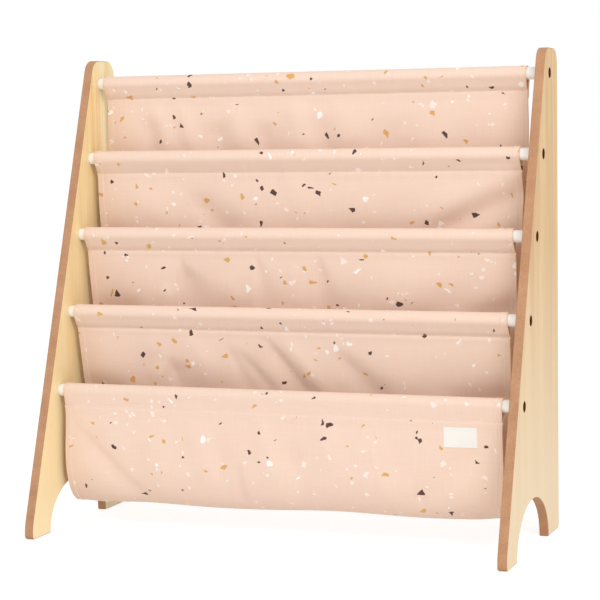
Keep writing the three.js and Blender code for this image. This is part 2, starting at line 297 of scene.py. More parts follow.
@dataclass(frozen=True)
class VeneeredBoard:
    """Fibreboard faced with pale veneer under satin varnish, with brown machined edges.

    Each scale says how fine a part of the grain is along the board's thickness, depth and height, in
    clouds of noise to the metre. The foot's values say where the face is painted paler, as painted
    light, and by how much.
    """

    name: str
    light: str
    dark: str
    pore: str
    # The foot colour is painted light: the face turns paler near the floor.
    foot: str
    edge_light: str = "CA9870"
    edge_dark: str = "AE7B56"
    roughness: float = 0.42
    foot_start: float = 0.38
    foot_end: float = 0.07
    foot_share: float = 0.85
    face_turn_share: float = 0.93
    grain_depth: float = 0.06 * MM
    varnish_share: float = 0.12
    wander_reach: float = 20 * MM
    wander_scale: tuple[float, float, float] = (3.0, 9.0, 2.0)
    wide_scale: tuple[float, float, float] = (4.0, 60.0, 2.0)
    streak_scale: tuple[float, float, float] = (9.0, 420.0, 7.0)
    pore_scale: tuple[float, float, float] = (30.0, 1500.0, 45.0)
    fibre_scale: float = 900.0
    cloud_scale: float = 45.0

    def veneer(self, g: NodeGraph, place: object) -> tuple[object, object, object]:
        """Vertical grain that wanders a little, with dark pores, painted paler towards the foot as painted
        light.

        Args:
            g: The material's nodes.
            place: The place on the object, in metres.

        Returns:
            The grain's streaks, the pores' pits and the colour.
        """
        wander = g.noise(g.vector("MULTIPLY", place, self.wander_scale), 1.0)
        drift = g.add("CombineXYZ", {1: g.math("MULTIPLY", wander, self.wander_reach)}).outputs[0]
        grain_place = g.vector("ADD", place, drift)
        wide = g.noise(g.vector("MULTIPLY", grain_place, self.wide_scale), 1.0, 3.0)
        streaks = g.noise(g.vector("MULTIPLY", grain_place, self.streak_scale), 1.0, 4.0, 0.6)
        pores = g.noise(g.vector("MULTIPLY", grain_place, self.pore_scale), 1.0, 2.0)
        tone = g.math("ADD", g.math("MULTIPLY", wide, 0.55), g.math("MULTIPLY", streaks, 0.45))
        colour = g.mix(g.between(tone, 0.39, 0.59), linear(self.dark), linear(self.light))
        pits = g.between(pores, 0.60, 0.70)
        colour = g.mix(g.math("MULTIPLY", pits, 0.45), colour, linear(self.pore))
        # Painted light: the face is painted paler from foot_start down to foot_end.
        height = g.add("SeparateXYZ", {0: place}).outputs[2]
        painted_foot_light = g.between(height, self.foot_start, self.foot_end, 0.0, self.foot_share)
        return streaks, pits, g.mix(painted_foot_light, colour, linear(self.foot))

    def machined_edge(self, g: NodeGraph, place: object) -> tuple[object, object]:
        """The height and the colour of mottled brown fibres."""
        fibres = g.noise(place, self.fibre_scale, 3.0, 0.7)
        clouds = g.noise(place, self.cloud_scale, 3.0)
        mottle = g.math("ADD", g.math("MULTIPLY", fibres, 0.7), g.math("MULTIPLY", clouds, 0.3))
        colour = g.mix(g.between(mottle, 0.38, 0.62), linear(self.edge_dark), linear(self.edge_light))
        return fibres, colour

    def build(self) -> bpy.types.Material:
        """Veneer where the surface faces along the rods, and machined edge where it turns away."""
        g = NodeGraph(self.name)
        place = g.object_place()
        streaks, pits, face = self.veneer(g, place)
        fibres, edge = self.machined_edge(g, place)
        facing = g.add("SeparateXYZ", {0: g.add("TexCoord").outputs["Normal"]}).outputs[0]
        flat = g.between(g.math("ABSOLUTE", facing), self.face_turn_share - 0.02, self.face_turn_share)
        turned = g.math("SUBTRACT", 1.0, flat)
        rough = g.between(streaks, 0.3, 0.7, self.roughness - 0.05, self.roughness + 0.06)
        rough = g.math("ADD", rough, g.math("MULTIPLY", turned, 0.25))
        depth = g.math("SUBTRACT", g.math("MULTIPLY", streaks, 0.4), g.math("MULTIPLY", pits, 0.6))
        relief = g.math("ADD", g.math("MULTIPLY", depth, flat), g.math("MULTIPLY", fibres, turned))
        return g.finish(Base_Color=g.mix(flat, edge, face), Roughness=rough,
                        Normal=g.bump(relief, self.grain_depth, 0.6),
                        Coat_Weight=self.varnish_share, Coat_Roughness=0.3)


@dataclass(frozen=True)
class SatinPaint:
    """White satin paint on steel tube, with a faint orange peel."""

    colour: str = "FFFEFC"
    worn: str = "FBF9F6"
    roughness: float = 0.3
    coat: float = 1.0
    coat_roughness: float = 0.15
    specular: float = 0.8
    peel_scale: float = 700.0
    peel_depth: float = 0.01 * MM
    wear_scale: float = 60.0

    def build(self) -> bpy.types.Material:
        """A plain coat with a little relief and a faintly uneven gloss."""
        g = NodeGraph("white_paint")
        place = g.object_place()
        peel = g.noise(place, self.peel_scale, 2.0)
        wear = g.noise(place, self.wear_scale, 3.0)
        colour = g.mix(g.between(wear, 0.45, 0.75), linear(self.colour), linear(self.worn))
        rough = g.between(wear, 0.3, 0.7, self.roughness - 0.04, self.roughness + 0.08)
        return g.finish(Base_Color=colour, Normal=g.bump(peel, self.peel_depth), Roughness=rough,
                        Coat_Weight=self.coat, Coat_Roughness=self.coat_roughness,
                        Specular_IOR_Level=self.specular)


@dataclass(frozen=True)
class PlatedSteel:
    """Plated steel: turned marks, an uneven gloss and brighter high spots."""

    name: str
    colour: str
    bright: str
    rim: str
    roughness: float
    mark_scale: float = 1800.0
    mark_depth: float = 0.01 * MM
    cloud_scale: float = 220.0

    def build(self) -> bpy.types.Material:
        """Metal whose tone and gloss drift over a fraction of a millimetre to some millimetres."""
        g = NodeGraph(self.name)
        place = g.object_place()
        grain = g.noise(place, self.mark_scale, 3.0, 0.7)
        cloud = g.noise(place, self.cloud_scale, 3.0)
        colour = g.mix(g.between(cloud, 0.4, 0.7), linear(self.colour), linear(self.bright))
        rough = g.between(cloud, 0.3, 0.7, self.roughness + 0.1, self.roughness - 0.06)
        return g.finish(Base_Color=colour, Metallic=1.0, Specular_Tint=linear(self.rim),
                        Normal=g.bump(grain, self.mark_depth), Roughness=rough)


@dataclass(frozen=True)
class ChipLayer:
    """One layer of printed terrazzo chips.

    Each chip fills a cell of a scattered pattern with so many cells to a metre. Least and most say
    how far a chip shrinks from its cell's edge, and counts gives chips to the square metre by colour.
    Skew bends the cells' straight sides, and only the kept share of chips stays, some of them cut
    across by a pattern of wider cells.
    """

    cells: float
    shift: tuple[float, float, float]
    least: float
    most: float
    counts: tuple[tuple[float, str], ...]
    kept_share: float = 0.6
    cut_cells_share: float = 0.55
    skew: float = 0.35
    rim_softness: float = 0.02


@dataclass(frozen=True)
class PrintedCanvas:
    """Plain-woven canvas printed with scattered terrazzo chips, matt with a faint bloom."""

    ground: str = "F5DAC8"
    ground_deep: str = "F4D5C1"
    thread_pitch: float = 0.75 * MM
    thread_depth: float = 0.06 * MM
    roughness: float = 0.86
    slub_scales: tuple[float, float] = (28.0, 900.0)
    layers: tuple[ChipLayer, ...] = (
        ChipLayer(112.0, (3.1, 7.7, 0.0), 0.10, 0.27,
                  ((120, "5F473F"), (150, "E1AE66"), (90, "FFFBF6"), (120, "FEECE2"))),
        ChipLayer(190.0, (11.3, 2.9, 0.0), 0.10, 0.26,
                  ((165, "5F473F"), (95, "E1AE66"), (165, "FFF8F1"), (590, "FEECE2"))),
    )

    def chips(self, g: NodeGraph, place: object, layer: ChipLayer,
              under: object) -> bpy.types.NodeSocket:
        """Lay one layer of chips over what is under it.

        Each chip is a cell of a scattered pattern, shrunk to where the distance to the cell's edge
        is more than a limit. The cell's own random values pick its colour, if any, and its size. A
        second, wider pattern of cells cuts some chips straight across.

        Args:
            g: The material's nodes.
            place: The place on the flat cloth, in metres.
            layer: Which chips to lay.
            under: The colour so far.

        Returns:
            The colour with the chips on it.
        """
        spot = g.vector("ADD", g.vector("MULTIPLY", place, (layer.cells,) * 3), layer.shift)
        skew = g.add("TexNoise", {"Vector": spot, "Scale": 1.6, "Detail": 2.0}).outputs["Color"]
        spot = g.vector("ADD", spot, g.vector("MULTIPLY", skew, (layer.skew, layer.skew, 0.0)))
        cell, rim, cut = (
            g.add("TexVoronoi", {"Vector": spot, "Scale": scale}, feature=feature, voronoi_dimensions="2D")
            for feature, scale in (("F1", 1.0), ("DISTANCE_TO_EDGE", 1.0), ("F1", layer.cut_cells_share)))
        draw = g.add("SeparateColor", {0: cell.outputs["Color"]})
        limit = g.between(draw.outputs[1], 0.0, 1.0, layer.least, layer.most)
        inside = g.between(g.math("SUBTRACT", rim.outputs["Distance"], limit), 0.0, layer.rim_softness)
        half = g.add("SeparateColor", {0: cut.outputs["Color"]}).outputs[0]
        inside = g.math("MULTIPLY", inside, g.math("LESS_THAN", half, layer.kept_share))
        start = 0.0
        for count, colour in layer.counts:
            share = count / (layer.kept_share * layer.cells ** 2)
            above = g.math("GREATER_THAN", draw.outputs[0], start)
            below = g.math("LESS_THAN", draw.outputs[0], start + share)
            picked = g.math("MULTIPLY", inside, g.math("MULTIPLY", above, below))
            under = g.mix(picked, under, linear(colour))
            start += share
        return under

    def weave(self, g: NodeGraph, place: object) -> bpy.types.NodeSocket:
        """The height of a plain weave.

        Each thread is the absolute sine across it, and warp and weft lie on top by turns, where the
        sine along one thread times the sine along the other is above or below nothing.
        """
        turn = math.pi / self.thread_pitch
        axes = g.add("SeparateXYZ", {0: g.vector("MULTIPLY", place, (turn,) * 3)})
        sine_u, sine_v = (g.math("SINE", axes.outputs[k]) for k in (0, 1))
        top = g.between(g.math("MULTIPLY", sine_u, sine_v), -0.25, 0.25)
        round_u, round_v = g.math("ABSOLUTE", sine_u), g.math("ABSOLUTE", sine_v)
        warp = g.math("MULTIPLY", round_u, top)
        weft = g.math("MULTIPLY", round_v, g.math("SUBTRACT", 1.0, top))
        return g.math("ADD", warp, weft)

    def build(self) -> bpy.types.Material:
        """Print, weave, slubs and bloom, all on the flat cloth's own map."""
        g = NodeGraph("printed_canvas")
        place = g.add("UVMap", uv_map=CLOTH_MAP).outputs["UV"]
        slubs = [g.noise(g.vector("MULTIPLY", place, (*scales, 1.0)), 1.0, 2.0)
                 for scales in (self.slub_scales, self.slub_scales[::-1])]
        slub = g.math("MULTIPLY", g.math("ADD", *slubs), 0.5)
        colour = g.mix(g.between(slub, 0.4, 0.6), linear(self.ground_deep), linear(self.ground))
        for layer in self.layers:
            colour = self.chips(g, place, layer, colour)
        woven = self.weave(g, place)
        relief = g.math("ADD", woven, g.math("MULTIPLY", slub, 0.5))
        return g.finish(Base_Color=colour, Roughness=self.roughness, Specular_IOR_Level=0.25,
                        Sheen_Weight=0.12, Sheen_Roughness=0.5,
                        Normal=g.bump(relief, self.thread_depth, 0.5))


@dataclass(frozen=True)
class SewingThread:
    """Twisted polyester thread, a little paler than the cloth."""

    colour: str = "FFF6EE"
    groove_shade: str = "F8E2D3"
    twist_scale: float = 900.0
    twist_depth: float = 0.02 * MM

    def build(self) -> bpy.types.Material:
        """Fine twist lines along each stitch, painted darker in their grooves as painted shade."""
        g = NodeGraph("sewing_thread")
        place = g.object_place()
        twist = g.add("TexWave", {"Vector": place, "Scale": self.twist_scale, "Distortion": 1.5},
                      bands_direction="DIAGONAL").outputs["Fac"]
        # Painted shade: the colour darkens into the grooves of the twist.
        colour = g.mix(g.between(twist, 0.0, 1.0, 0.0, 0.5), linear(self.colour), linear(self.groove_shade))
        return g.finish(Base_Color=colour, Roughness=0.6, Sheen_Weight=0.2,
                        Normal=g.bump(twist, self.twist_depth))


@dataclass(frozen=True)
class WovenLabel:
    """A bare label of fine damask weave with a sewn border."""

    colour: str = "FBF9F4"
    # The shade colour is painted shade, laid between the ribs.
    shade: str = "F0EAE2"
    rib_pitch: float = 0.45 * MM
    rib_depth: float = 0.05 * MM
    fuzz_scale: float = 500.0

    def build(self) -> bpy.types.Material:
        """Fine ribs along the label's width on its own map, painted darker between the ribs as painted
        shade, with a random fuzz of tone.
        """
        g = NodeGraph("woven_label")
        place = g.add("UVMap", uv_map=CLOTH_MAP).outputs["UV"]
        turn = math.pi / self.rib_pitch
        axes = g.add("SeparateXYZ", {0: g.vector("MULTIPLY", place, (turn,) * 3)})
        ribs = g.math("ABSOLUTE", g.math("SINE", axes.outputs[1]))
        cross = g.math("ABSOLUTE", g.math("SINE", g.math("MULTIPLY", axes.outputs[0], 0.5)))
        woven = g.math("ADD", g.math("MULTIPLY", ribs, 0.7), g.math("MULTIPLY", cross, 0.3))
        fuzz = g.noise(g.vector("MULTIPLY", place, (self.fuzz_scale, self.fuzz_scale, 1.0)), 1.0, 3.0)
        # Partly painted shade: the colour darkens between the ribs; the fuzz is a random tone.
        tone = g.math("ADD", g.math("MULTIPLY", woven, 0.6), g.math("MULTIPLY", fuzz, 0.4))
        return g.finish(Base_Color=g.mix(tone, linear(self.shade), linear(self.colour)),
                        Roughness=0.7, Sheen_Weight=0.1, Normal=g.bump(woven, self.rib_depth, 0.6))


@dataclass
class Finishes:
    """Every finish on the shelf, built once."""

    # The two boards share one veneer, painted as lit and shaded copies: the left one lighter and yellower,
    # the right one darker.
    left_veneer_painted_lighter: bpy.types.Material = field(default_factory=lambda: VeneeredBoard(
        "left_veneer_painted_lighter", "FFEAB6", "F4CF8A", "E2B66E", "FFEAB9", foot_start=0.56).build())
    right_veneer_painted_darker: bpy.types.Material = field(default_factory=lambda: VeneeredBoard(
        "right_veneer_painted_darker", "E8C082", "D19E59", "C08C4C", "F4DAB0").build())
    paint: bpy.types.Material = field(default_factory=lambda: SatinPaint().build())
    bronze: bpy.types.Material = field(default_factory=lambda: PlatedSteel(
        "dark_bronze", "5E4528", "7E603A", "8A6A48", 0.36).build())
    zinc: bpy.types.Material = field(default_factory=lambda: PlatedSteel(
        "zinc_plate", "B4B4AE", "CBCBC6", "FFFFFF", 0.34).build())
    canvas: bpy.types.Material = field(default_factory=lambda: PrintedCanvas().build())
    thread: bpy.types.Material = field(default_factory=lambda: SewingThread().build())
    label: bpy.types.Material = field(default_factory=lambda: WovenLabel().build())


# Side panels


@dataclass
class SidePanel:
    """One tapering board with a rounded top, an arched foot, five bolt holes and five rod sockets."""

    side: Side
    top_width: float = 61 * MM
    top_radius: float = 20 * MM
    edge_round: float = 1.5 * MM
    front_foot: float = 49 * MM
    rear_foot: float = 58 * MM
    arch_height: float = 62 * MM
    foot_corner: float = 5 * MM
    toe_height: float = 15 * MM
    arc_step: float = 1.5 * MM
    least_arc_steps: int = 8
    head_radius: float = 6.8 * MM
    head_rim: float = 0.9 * MM
    head_cone: float = 3.2 * MM
    shank_radius: float = 3.2 * MM
    socket_radius: float = 8.3 * MM
    socket_depth: float = 4 * MM
    hole_segments: int = 48
    round_steps: int = 5
    least_bisector: float = 0.3

    def __post_init__(self) -> None:
        """Take the board's place and size from the frame."""
        self.node = f"{self.side.word}_side_panel"
        low, high = (np.array(corner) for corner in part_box(self.node))
        self.low, self.high = low, high

    def arc(self, centre: tuple[float, float], radii: tuple[float, float], start: float,
            end: float) -> np.ndarray:
        """Points round part of an ellipse: the centre plus (a cos t, b sin t), t in degrees."""
        length = abs(math.radians(end - start)) * max(radii)
        count = max(self.least_arc_steps, math.ceil(length / self.arc_step)) + 1
        turn = np.radians(np.linspace(start, end, count))
        return np.stack([centre[0] + radii[0] * np.cos(turn), centre[1] + radii[1] * np.sin(turn)], 1)

    def outline(self) -> np.ndarray:
        """The board's outline in depth and height.

        It runs from the toe round the arch and the rear foot, up the back, over the two rounded
        corners and down the leaning front edge, whose bend ends at the toe's rounded corner.

        Returns:
            Points by depth and height, without a repeated end.
        """
        front, back, top = self.low[1], self.high[1], self.high[2]
        corner, radius = self.foot_corner, self.top_radius
        arch = (back - front - self.front_foot - self.rear_foot) / 2
        lean = math.atan2(back - front - self.top_width, top - self.toe_height)
        shoulder = back - self.top_width + radius * math.tan((math.pi / 2 - lean) / 2)
        bend = (self.toe_height - corner) / math.tan(lean / 2)
        turn = math.degrees(lean)
        parts = [
            self.arc((front + self.front_foot + arch, 0), (arch, self.arch_height), 180, 0),
            self.arc((back - corner, corner), (corner, corner), -90, 0),
            self.arc((back - radius, top - radius), (radius, radius), 0, 90),
            self.arc((shoulder, top - radius), (radius, radius), 90, 180 - turn),
            self.arc((front + bend, corner), (bend, bend), 180 - turn, 180),
            self.arc((front + corner, corner), (corner, corner), 180, 270)[1:],
        ]
        return np.vstack(parts)

    def inset(self, outline: np.ndarray, distance: float) -> np.ndarray:
        """Draw an outline in by a distance, moving each point along the bisector of its corner."""
        before = outline - np.roll(outline, 1, axis=0)
        after = np.roll(outline, -1, axis=0) - outline
        normals = [unit(np.stack([-d[:, 1], d[:, 0]], 1)) for d in (before, after)]
        middle = unit(normals[0] + normals[1])
        lengthen = 1 / np.maximum(np.einsum("ij,ij->i", middle, normals[1]), self.least_bisector)
        return outline + middle * (distance * lengthen)[:, None]

    def rim(self, outline: np.ndarray) -> list[np.ndarray]:
        """Rings round the board's edge, from the inner face over a quarter round to the outer face.

        Over the round, a ring is drawn in by r (1 - cos t) and stands r (1 - sin t) from the face.
        """
        turn = np.linspace(np.pi / 2, 0, self.round_steps)
        half = (self.high[0] - self.low[0]) / 2
        inset = self.edge_round * (1 - np.cos(turn))
        across = half - self.edge_round * (1 - np.sin(turn))
        levels = zip(np.concatenate([-across, across[::-1]]), np.concatenate([inset, inset[::-1]]))
        return [np.column_stack([np.full(len(outline), a), self.inset(outline, i)]) for a, i in levels]

    def bore(self, centre: np.ndarray) -> list[np.ndarray]:
        """Rings down one hole, from the bolt's countersink through the board to the rod's socket."""
        sign = self.side.value
        face = (self.high[0] - self.low[0]) / 2 * sign
        cone_top = face - sign * self.head_rim
        cone_end = cone_top - sign * self.head_cone
        floor = -face + sign * self.socket_depth
        profile = [(face, self.head_radius), (cone_top, self.head_radius), (cone_end, self.shank_radius),
                   (floor, self.shank_radius), (floor, self.socket_radius), (-face, self.socket_radius)]
        turn = np.linspace(0, 2 * np.pi, self.hole_segments, endpoint=False)
        circle = np.stack([np.cos(turn), np.sin(turn)], 1)
        return [np.column_stack([np.full(len(turn), x), centre + r * circle]) for x, r in profile]

    def build(self, finishes: Finishes) -> bpy.types.Object:
        """Join the rim, the bores and the two pierced faces into one closed board."""
        outline = self.outline()
        rim = self.rim(outline)
        rods = [np.array(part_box(f"rod_{number + 1}"))[:, 1:].mean(axis=0) for number in range(ROD_COUNT)]
        bores = [self.bore(centre) for centre in rods]
        faces = grid_faces(len(rim), len(outline), wrap=True).tolist()
        start = len(rim) * len(outline)
        first, last = [list(range(len(outline)))], [list(range(start - len(outline), start))]
        outer, inner = (last, first) if self.side is Side.RIGHT else (first, last)
        size = self.hole_segments
        for bore in bores:
            cells = grid_faces(len(bore), size, start, wrap=True)
            faces += (cells if self.side is Side.RIGHT else cells[:, ::-1]).tolist()
            outer.append(list(range(start, start + size)))
            start += len(bore) * size
            inner.append(list(range(start - size, start)))
        points = np.vstack(rim + [ring for bore in bores for ring in bore])
        points[:, 0] += (self.low[0] + self.high[0]) / 2
        for loops, sign in ((outer, self.side.value), (inner, -self.side.value)):
            faces += self.pierced_face(points, loops, sign)
        # Each board takes its own painted-light copy of the veneer.
        veneer = finishes.left_veneer_painted_lighter if self.side is Side.LEFT else finishes.right_veneer_painted_darker
        board = mesh_piece(self.node.replace("side_panel", "board"), points, faces, veneer, 30)
        recalculate_outward(board)
        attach(board, BODY)
        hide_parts(self.node)
        log.info("%s: %d faces", board.name, len(board.data.polygons))
        return board

    def pierced_face(self, points: np.ndarray, loops: list[list[int]], sign: int) -> list[list[int]]:
        """Fill a flat face between its outline and its holes with triangles that face one way."""
        numbers = [number for loop in loops for number in loop]
        flat = [[Vector((*points[number][1:], 0.0)) for number in loop] for loop in loops]
        triangles = [[numbers[corner] for corner in triangle] for triangle in tessellate_polygon(flat)]
        made = []
        for triangle in triangles:
            a, b, c = (points[corner] for corner in triangle)
            faces_out = np.cross(b - a, c - a)[0] * sign > 0
            made.append(triangle if faces_out else triangle[::-1])
        return made


# Rods and bolts


@dataclass
class RodWithFastenings:
    """One painted steel rod and the bolt and insert at each of its ends."""

    number: int
    wall: float = 1.2 * MM
    lip: float = 0.4 * MM
    segments: int = 64
    head_radius: float = 6.5 * MM
    head_rim: float = 0.6 * MM
    head_cone: float = 3.2 * MM
    rim_round: float = 0.25 * MM
    shank_radius: float = 2.9 * MM
    tip_chamfer: float = 0.8 * MM
    key_half: float = 2 * MM
    key_depth: float = 2.6 * MM
    key_chamfer: float = 0.3 * MM
    drill_point: float = 0.4 * MM
    centre_share: float = 0.05
    bolt_segments: int = 60

    def tube(self, finishes: Finishes) -> bpy.types.Object:
        """A tube with its end rims rounded by quarter circles."""
        node = f"rod_{self.number + 1}"
        low, high = (np.array(corner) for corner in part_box(node))
        radius = (high[2] - low[2]) / 2
        turn = np.linspace(0, np.pi / 2, 5)
        edge_x = high[0] - self.lip * (1 - np.sin(turn))
        outer = radius - self.lip * (1 - np.cos(turn))
        right = np.stack([edge_x, outer], 1)
        left = np.stack([low[0] + high[0] - edge_x[::-1], outer[::-1]], 1)
        inner = np.array([[high[0], radius - self.wall], [low[0], radius - self.wall]])
        profile = np.vstack([left, right, inner])
        turn = np.linspace(0, 2 * np.pi, self.segments, endpoint=False)
        x, ring = profile[:, 0, None], profile[:, 1, None]
        points = np.stack([x + 0 * turn, ring * np.cos(turn), ring * np.sin(turn)], -1).reshape(-1, 3)
        faces = grid_faces(len(profile) + 1, self.segments, wrap=True) % len(points)
        faces = closed_outward(points, faces.tolist())
        points[:, 1:] += (low + high)[1:] / 2
        piece = mesh_piece(f"tube_{self.number + 1}", points, faces, finishes.paint, 40)
        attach(piece, BODY)
        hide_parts(node)
        return piece

    def bolt(self, side: Side, finishes: Finishes) -> bpy.types.Object:
        """A flat-head bolt whose hexagon recess and round head are rings of one radius formula.

        A ring's radius is its size for a circle, and its size over the cosine of the angle from the
        nearest flat's middle for a hexagon.
        """
        node = f"{side.word}_bolt_{self.number + 1}"
        low, high = (np.array(corner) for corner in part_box(node))
        turn = np.linspace(0, 2 * np.pi, self.bolt_segments, endpoint=False)
        flat = 1 / np.cos((turn + np.pi / 6) % (np.pi / 3) - np.pi / 6)
        rim, head, shank = self.rim_round, self.head_radius, self.shank_radius
        length = high[0] - low[0]
        rings = [(-self.key_depth - self.drill_point, self.centre_share * self.key_half, True),
                 (-self.key_depth, self.key_half, True),
                 (-self.key_chamfer, self.key_half, True),
                 (0.0, self.key_half + self.key_chamfer, True),
                 (0.0, head - rim, False),
                 (-0.3 * rim, head - 0.3 * rim, False),
                 (-rim, head, False),
                 (-self.head_rim, head, False),
                 (-self.head_rim - self.head_cone, shank, False),
                 (-length + self.tip_chamfer, shank, False),
                 (-length, shank - self.tip_chamfer, False),
                 (-length, self.centre_share * shank, False)]
        x = np.array([ring[0] for ring in rings])[:, None] + 0 * turn
        size = np.array([ring[1] for ring in rings])[:, None]
        hexagon = np.array([ring[2] for ring in rings])[:, None]
        radius = size * np.where(hexagon, flat, 1.0)
        points = np.stack([x, radius * np.cos(turn), radius * np.sin(turn)], -1).reshape(-1, 3)
        faces = grid_faces(len(rings), self.bolt_segments, wrap=True).tolist()
        count = len(points)
        faces += [list(range(self.bolt_segments)), list(range(count - self.bolt_segments, count))[::-1]]
        outward = side.value
        points[:, 0] = (high[0] if side is Side.RIGHT else low[0]) + outward * points[:, 0]
        points[:, 1:] += (low + high)[1:] / 2
        piece = mesh_piece(f"{side.word}_screw_{self.number + 1}", points, closed_outward(points, faces),
                           finishes.bronze, 25)
        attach(piece, BODY)
        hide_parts(node)
        return piece

    def build(self, finishes: Finishes) -> None:
        """Make the tube and bolts and plate the inserts."""
        self.tube(finishes)
        for side in Side:
            self.bolt(side, finishes)
            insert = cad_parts[f"{side.word}_insert_{self.number + 1}"]
            insert.data.materials.clear()
            insert.data.materials.append(finishes.zinc)
        log.info("rod %d with its two bolts and inserts", self.number + 1)


# Cloth sling


@dataclass(frozen=True)
class Fold:
    """A fold in a hanging wall: a ridge, or a valley where its height is below nothing.

    It runs from one place to another, each given by x along the rods and the drop below the seam.
    Widths holds its width on the side to the left of the line or below it, and on the other side.
    Rise_span and fall_span are the shares of the line between which it rises and dies away.
    """

    start: tuple[float, float]
    end: tuple[float, float]
    widths: tuple[float, float]
    height: float
    spread_share: float = 0.0
    rise_span: tuple[float, float] = (-0.25, 0.3)
    fall_span: tuple[float, float] = (0.8, 1.35)

    def lift(self, x: np.ndarray, drop: np.ndarray) -> np.ndarray:
        """The height of the fold at places on the wall.

        It is the fold's height times exp(-(d / width) squared), where d is the distance to the
        fold's line, eased to nothing at the line's ends. The width grows along the line where the
        fold spreads.
        """
        start, end = np.array(self.start) * MM, np.array(self.end) * MM
        along = end - start
        length = np.linalg.norm(along)
        share = ((x - start[0]) * along[0] + (drop - start[1]) * along[1]) / length ** 2
        aside = ((x - start[0]) * along[1] - (drop - start[1]) * along[0]) / length
        ease = smooth(share, *self.rise_span) * (1 - smooth(share, *self.fall_span))
        width = np.where(aside < 0, *self.widths) * MM
        width = width * (1 + self.spread_share * (np.clip(share, 0, 1) - 0.5))
        return self.height * MM * np.exp(-(aside / width) ** 2) * ease


@dataclass
class SeamDrape:
    """How the cloth hangs from one seam: its named folds, its slow waves and its puckers."""

    number: int
    folds: tuple[Fold, ...]
    wave: float = 1.6 * MM
    wave_onset: float = 60 * MM
    pucker: float = 0.4 * MM
    pucker_pitch: float = 14 * MM
    pucker_reach: float = 10 * MM
    flare: float = 1.0 * MM
    flare_width: float = 30 * MM
    right_reach: float = 0.0
    wave_count: int = 4
    pitch_span: tuple[float, float] = (95, 260)
    slant_span: tuple[float, float] = (-0.7, 0.7)
    share_span: tuple[float, float] = (0.3, 0.7)
    knot_reach: float = 0.36
    seed: int = 100

    def __post_init__(self) -> None:
        """Draw the seam's random waves and puckers from a fixed seed."""
        draw = np.random.default_rng(self.seed + self.number)
        self.wave_pitches = draw.uniform(*self.pitch_span, self.wave_count) * MM
        self.wave_phases = draw.uniform(0, 2 * np.pi, self.wave_count)
        self.wave_slants = draw.uniform(*self.slant_span, self.wave_count)
        self.wave_shares = draw.uniform(*self.share_span, self.wave_count)
        self.knots = np.arange(-self.knot_reach, self.knot_reach, self.pucker_pitch / 2)
        self.pucker_heights = draw.uniform(-1, 1, len(self.knots))

    def hang(self, x: np.ndarray, drop: np.ndarray, half_width: float) -> np.ndarray:
        """How far the wall stands forward at places on it.

        The sum of the folds, of four sines of x plus a share of the drop that grow below the seam,
        and of a flare of the free side edges.
        """
        total = sum((fold.lift(x, drop) for fold in self.folds), np.zeros(np.broadcast(x, drop).shape))
        onset = smooth(drop, 0, self.wave_onset)
        waves = zip(self.wave_pitches, self.wave_phases, self.wave_slants, self.wave_shares)
        for pitch, phase, slant, share in waves:
            ripple = np.sin(2 * np.pi * (x + slant * drop) / pitch + phase)
            total = total + onset * self.wave * share * ripple
        aside = smooth(np.abs(x), half_width - self.flare_width, half_width)
        return total + self.flare * aside * smooth(drop, 0, 2 * self.wave_onset)

    def puckers(self, x: np.ndarray, away: np.ndarray) -> np.ndarray:
        """Small ripples along the seam that die away above and below it."""
        ripple = np.interp(x, self.knots, self.pucker_heights)
        return self.pucker * ripple * np.exp(-(away / self.pucker_reach) ** 2)


@dataclass(frozen=True)
class ClothMesh:
    """How finely the cloth's section and surface are sampled, and how it lies on its flat map.

    Hem_stations are millimetres in from a side edge, and inner_inset is where even columns start.
    Map_step and map_shift set apart, on the map, the four lengths and the two faces of each.
    """

    turn_points: int = 60
    fall_points: int = 30
    curve_points: int = 80
    same_place: float = 1e-7
    path_step: float = 0.25 * MM
    path_smoothing: int = 9
    hem_stations: tuple[float, ...] = (0, 0.35, 1.2, 3, 5, 7, 8.2, 8.9, 9.6, 11)
    inner_inset: float = 14 * MM
    inner_columns: int = 172
    map_step: float = 0.9
    map_shift: tuple[float, float] = (0.31, 0.17)


@dataclass(frozen=True)
class SlingSizes:
    """The sling's sizes, in metres. The seams, walls and round bottoms are those of its solids.

    Tuck is how far a front wall reaches up behind the next sleeve's seam, and rod_hold is the height
    above a seam at which a sleeve lies evenly round its rod. Quarter_round is the share of the radius
    at which the steering point of a cubic curve makes it follow a quarter circle.
    """

    thickness: float = 0.9 * MM
    seam_drop: float = 21 * MM
    seam_band: float = 4 * MM
    seam_setback: float = 4 * MM
    lip_setforward: float = 5 * MM
    ground_clearance: float = 34 * MM
    sleeve_slack: float = 0.6 * MM
    sleeve_bellies: tuple[float, ...] = (0.9 * MM, 0.3 * MM, 1.0 * MM, 1.0 * MM, 0.9 * MM)
    top_wall_slope: float = 0.0
    low_wall_slope: float = 0.16
    layer_step: float = 1.25 * MM
    layer_spread: float = 4 * MM
    round_height: float = 55 * MM
    quarter_round: float = 0.5523
    hem_tilt: float = 6 * MM
    sag: float = 1.5 * MM
    sag_pitch: float = 260 * MM
    end_lift: float = 2.5 * MM
    end_lift_width: float = 40 * MM
    edge_wave: float = 0.5 * MM
    edge_pitch: float = 110 * MM
    edge_width: float = 30 * MM
    hem_width: float = 9 * MM
    hem_ramp: float = 0.8 * MM
    rim_width: float = 0.4 * MM
    rim_share: float = 0.55
    hem_growth: float = 0.7 * MM
    welt: float = 0.85 * MM
    welt_width: float = 0.6 * MM
    welt_fall: float = 12 * MM
    seam_reach: float = 1.0 * MM
    seam_reach_width: float = 1.5 * MM
    tail: float = 6 * MM
    tuck: float = 1 * MM
    rod_hold: float = 12 * MM
    hem_clear: tuple[float, float] = (2 * MM, 8 * MM)
    tail_ease: float = 6 * MM
    mesh: ClothMesh = ClothMesh()


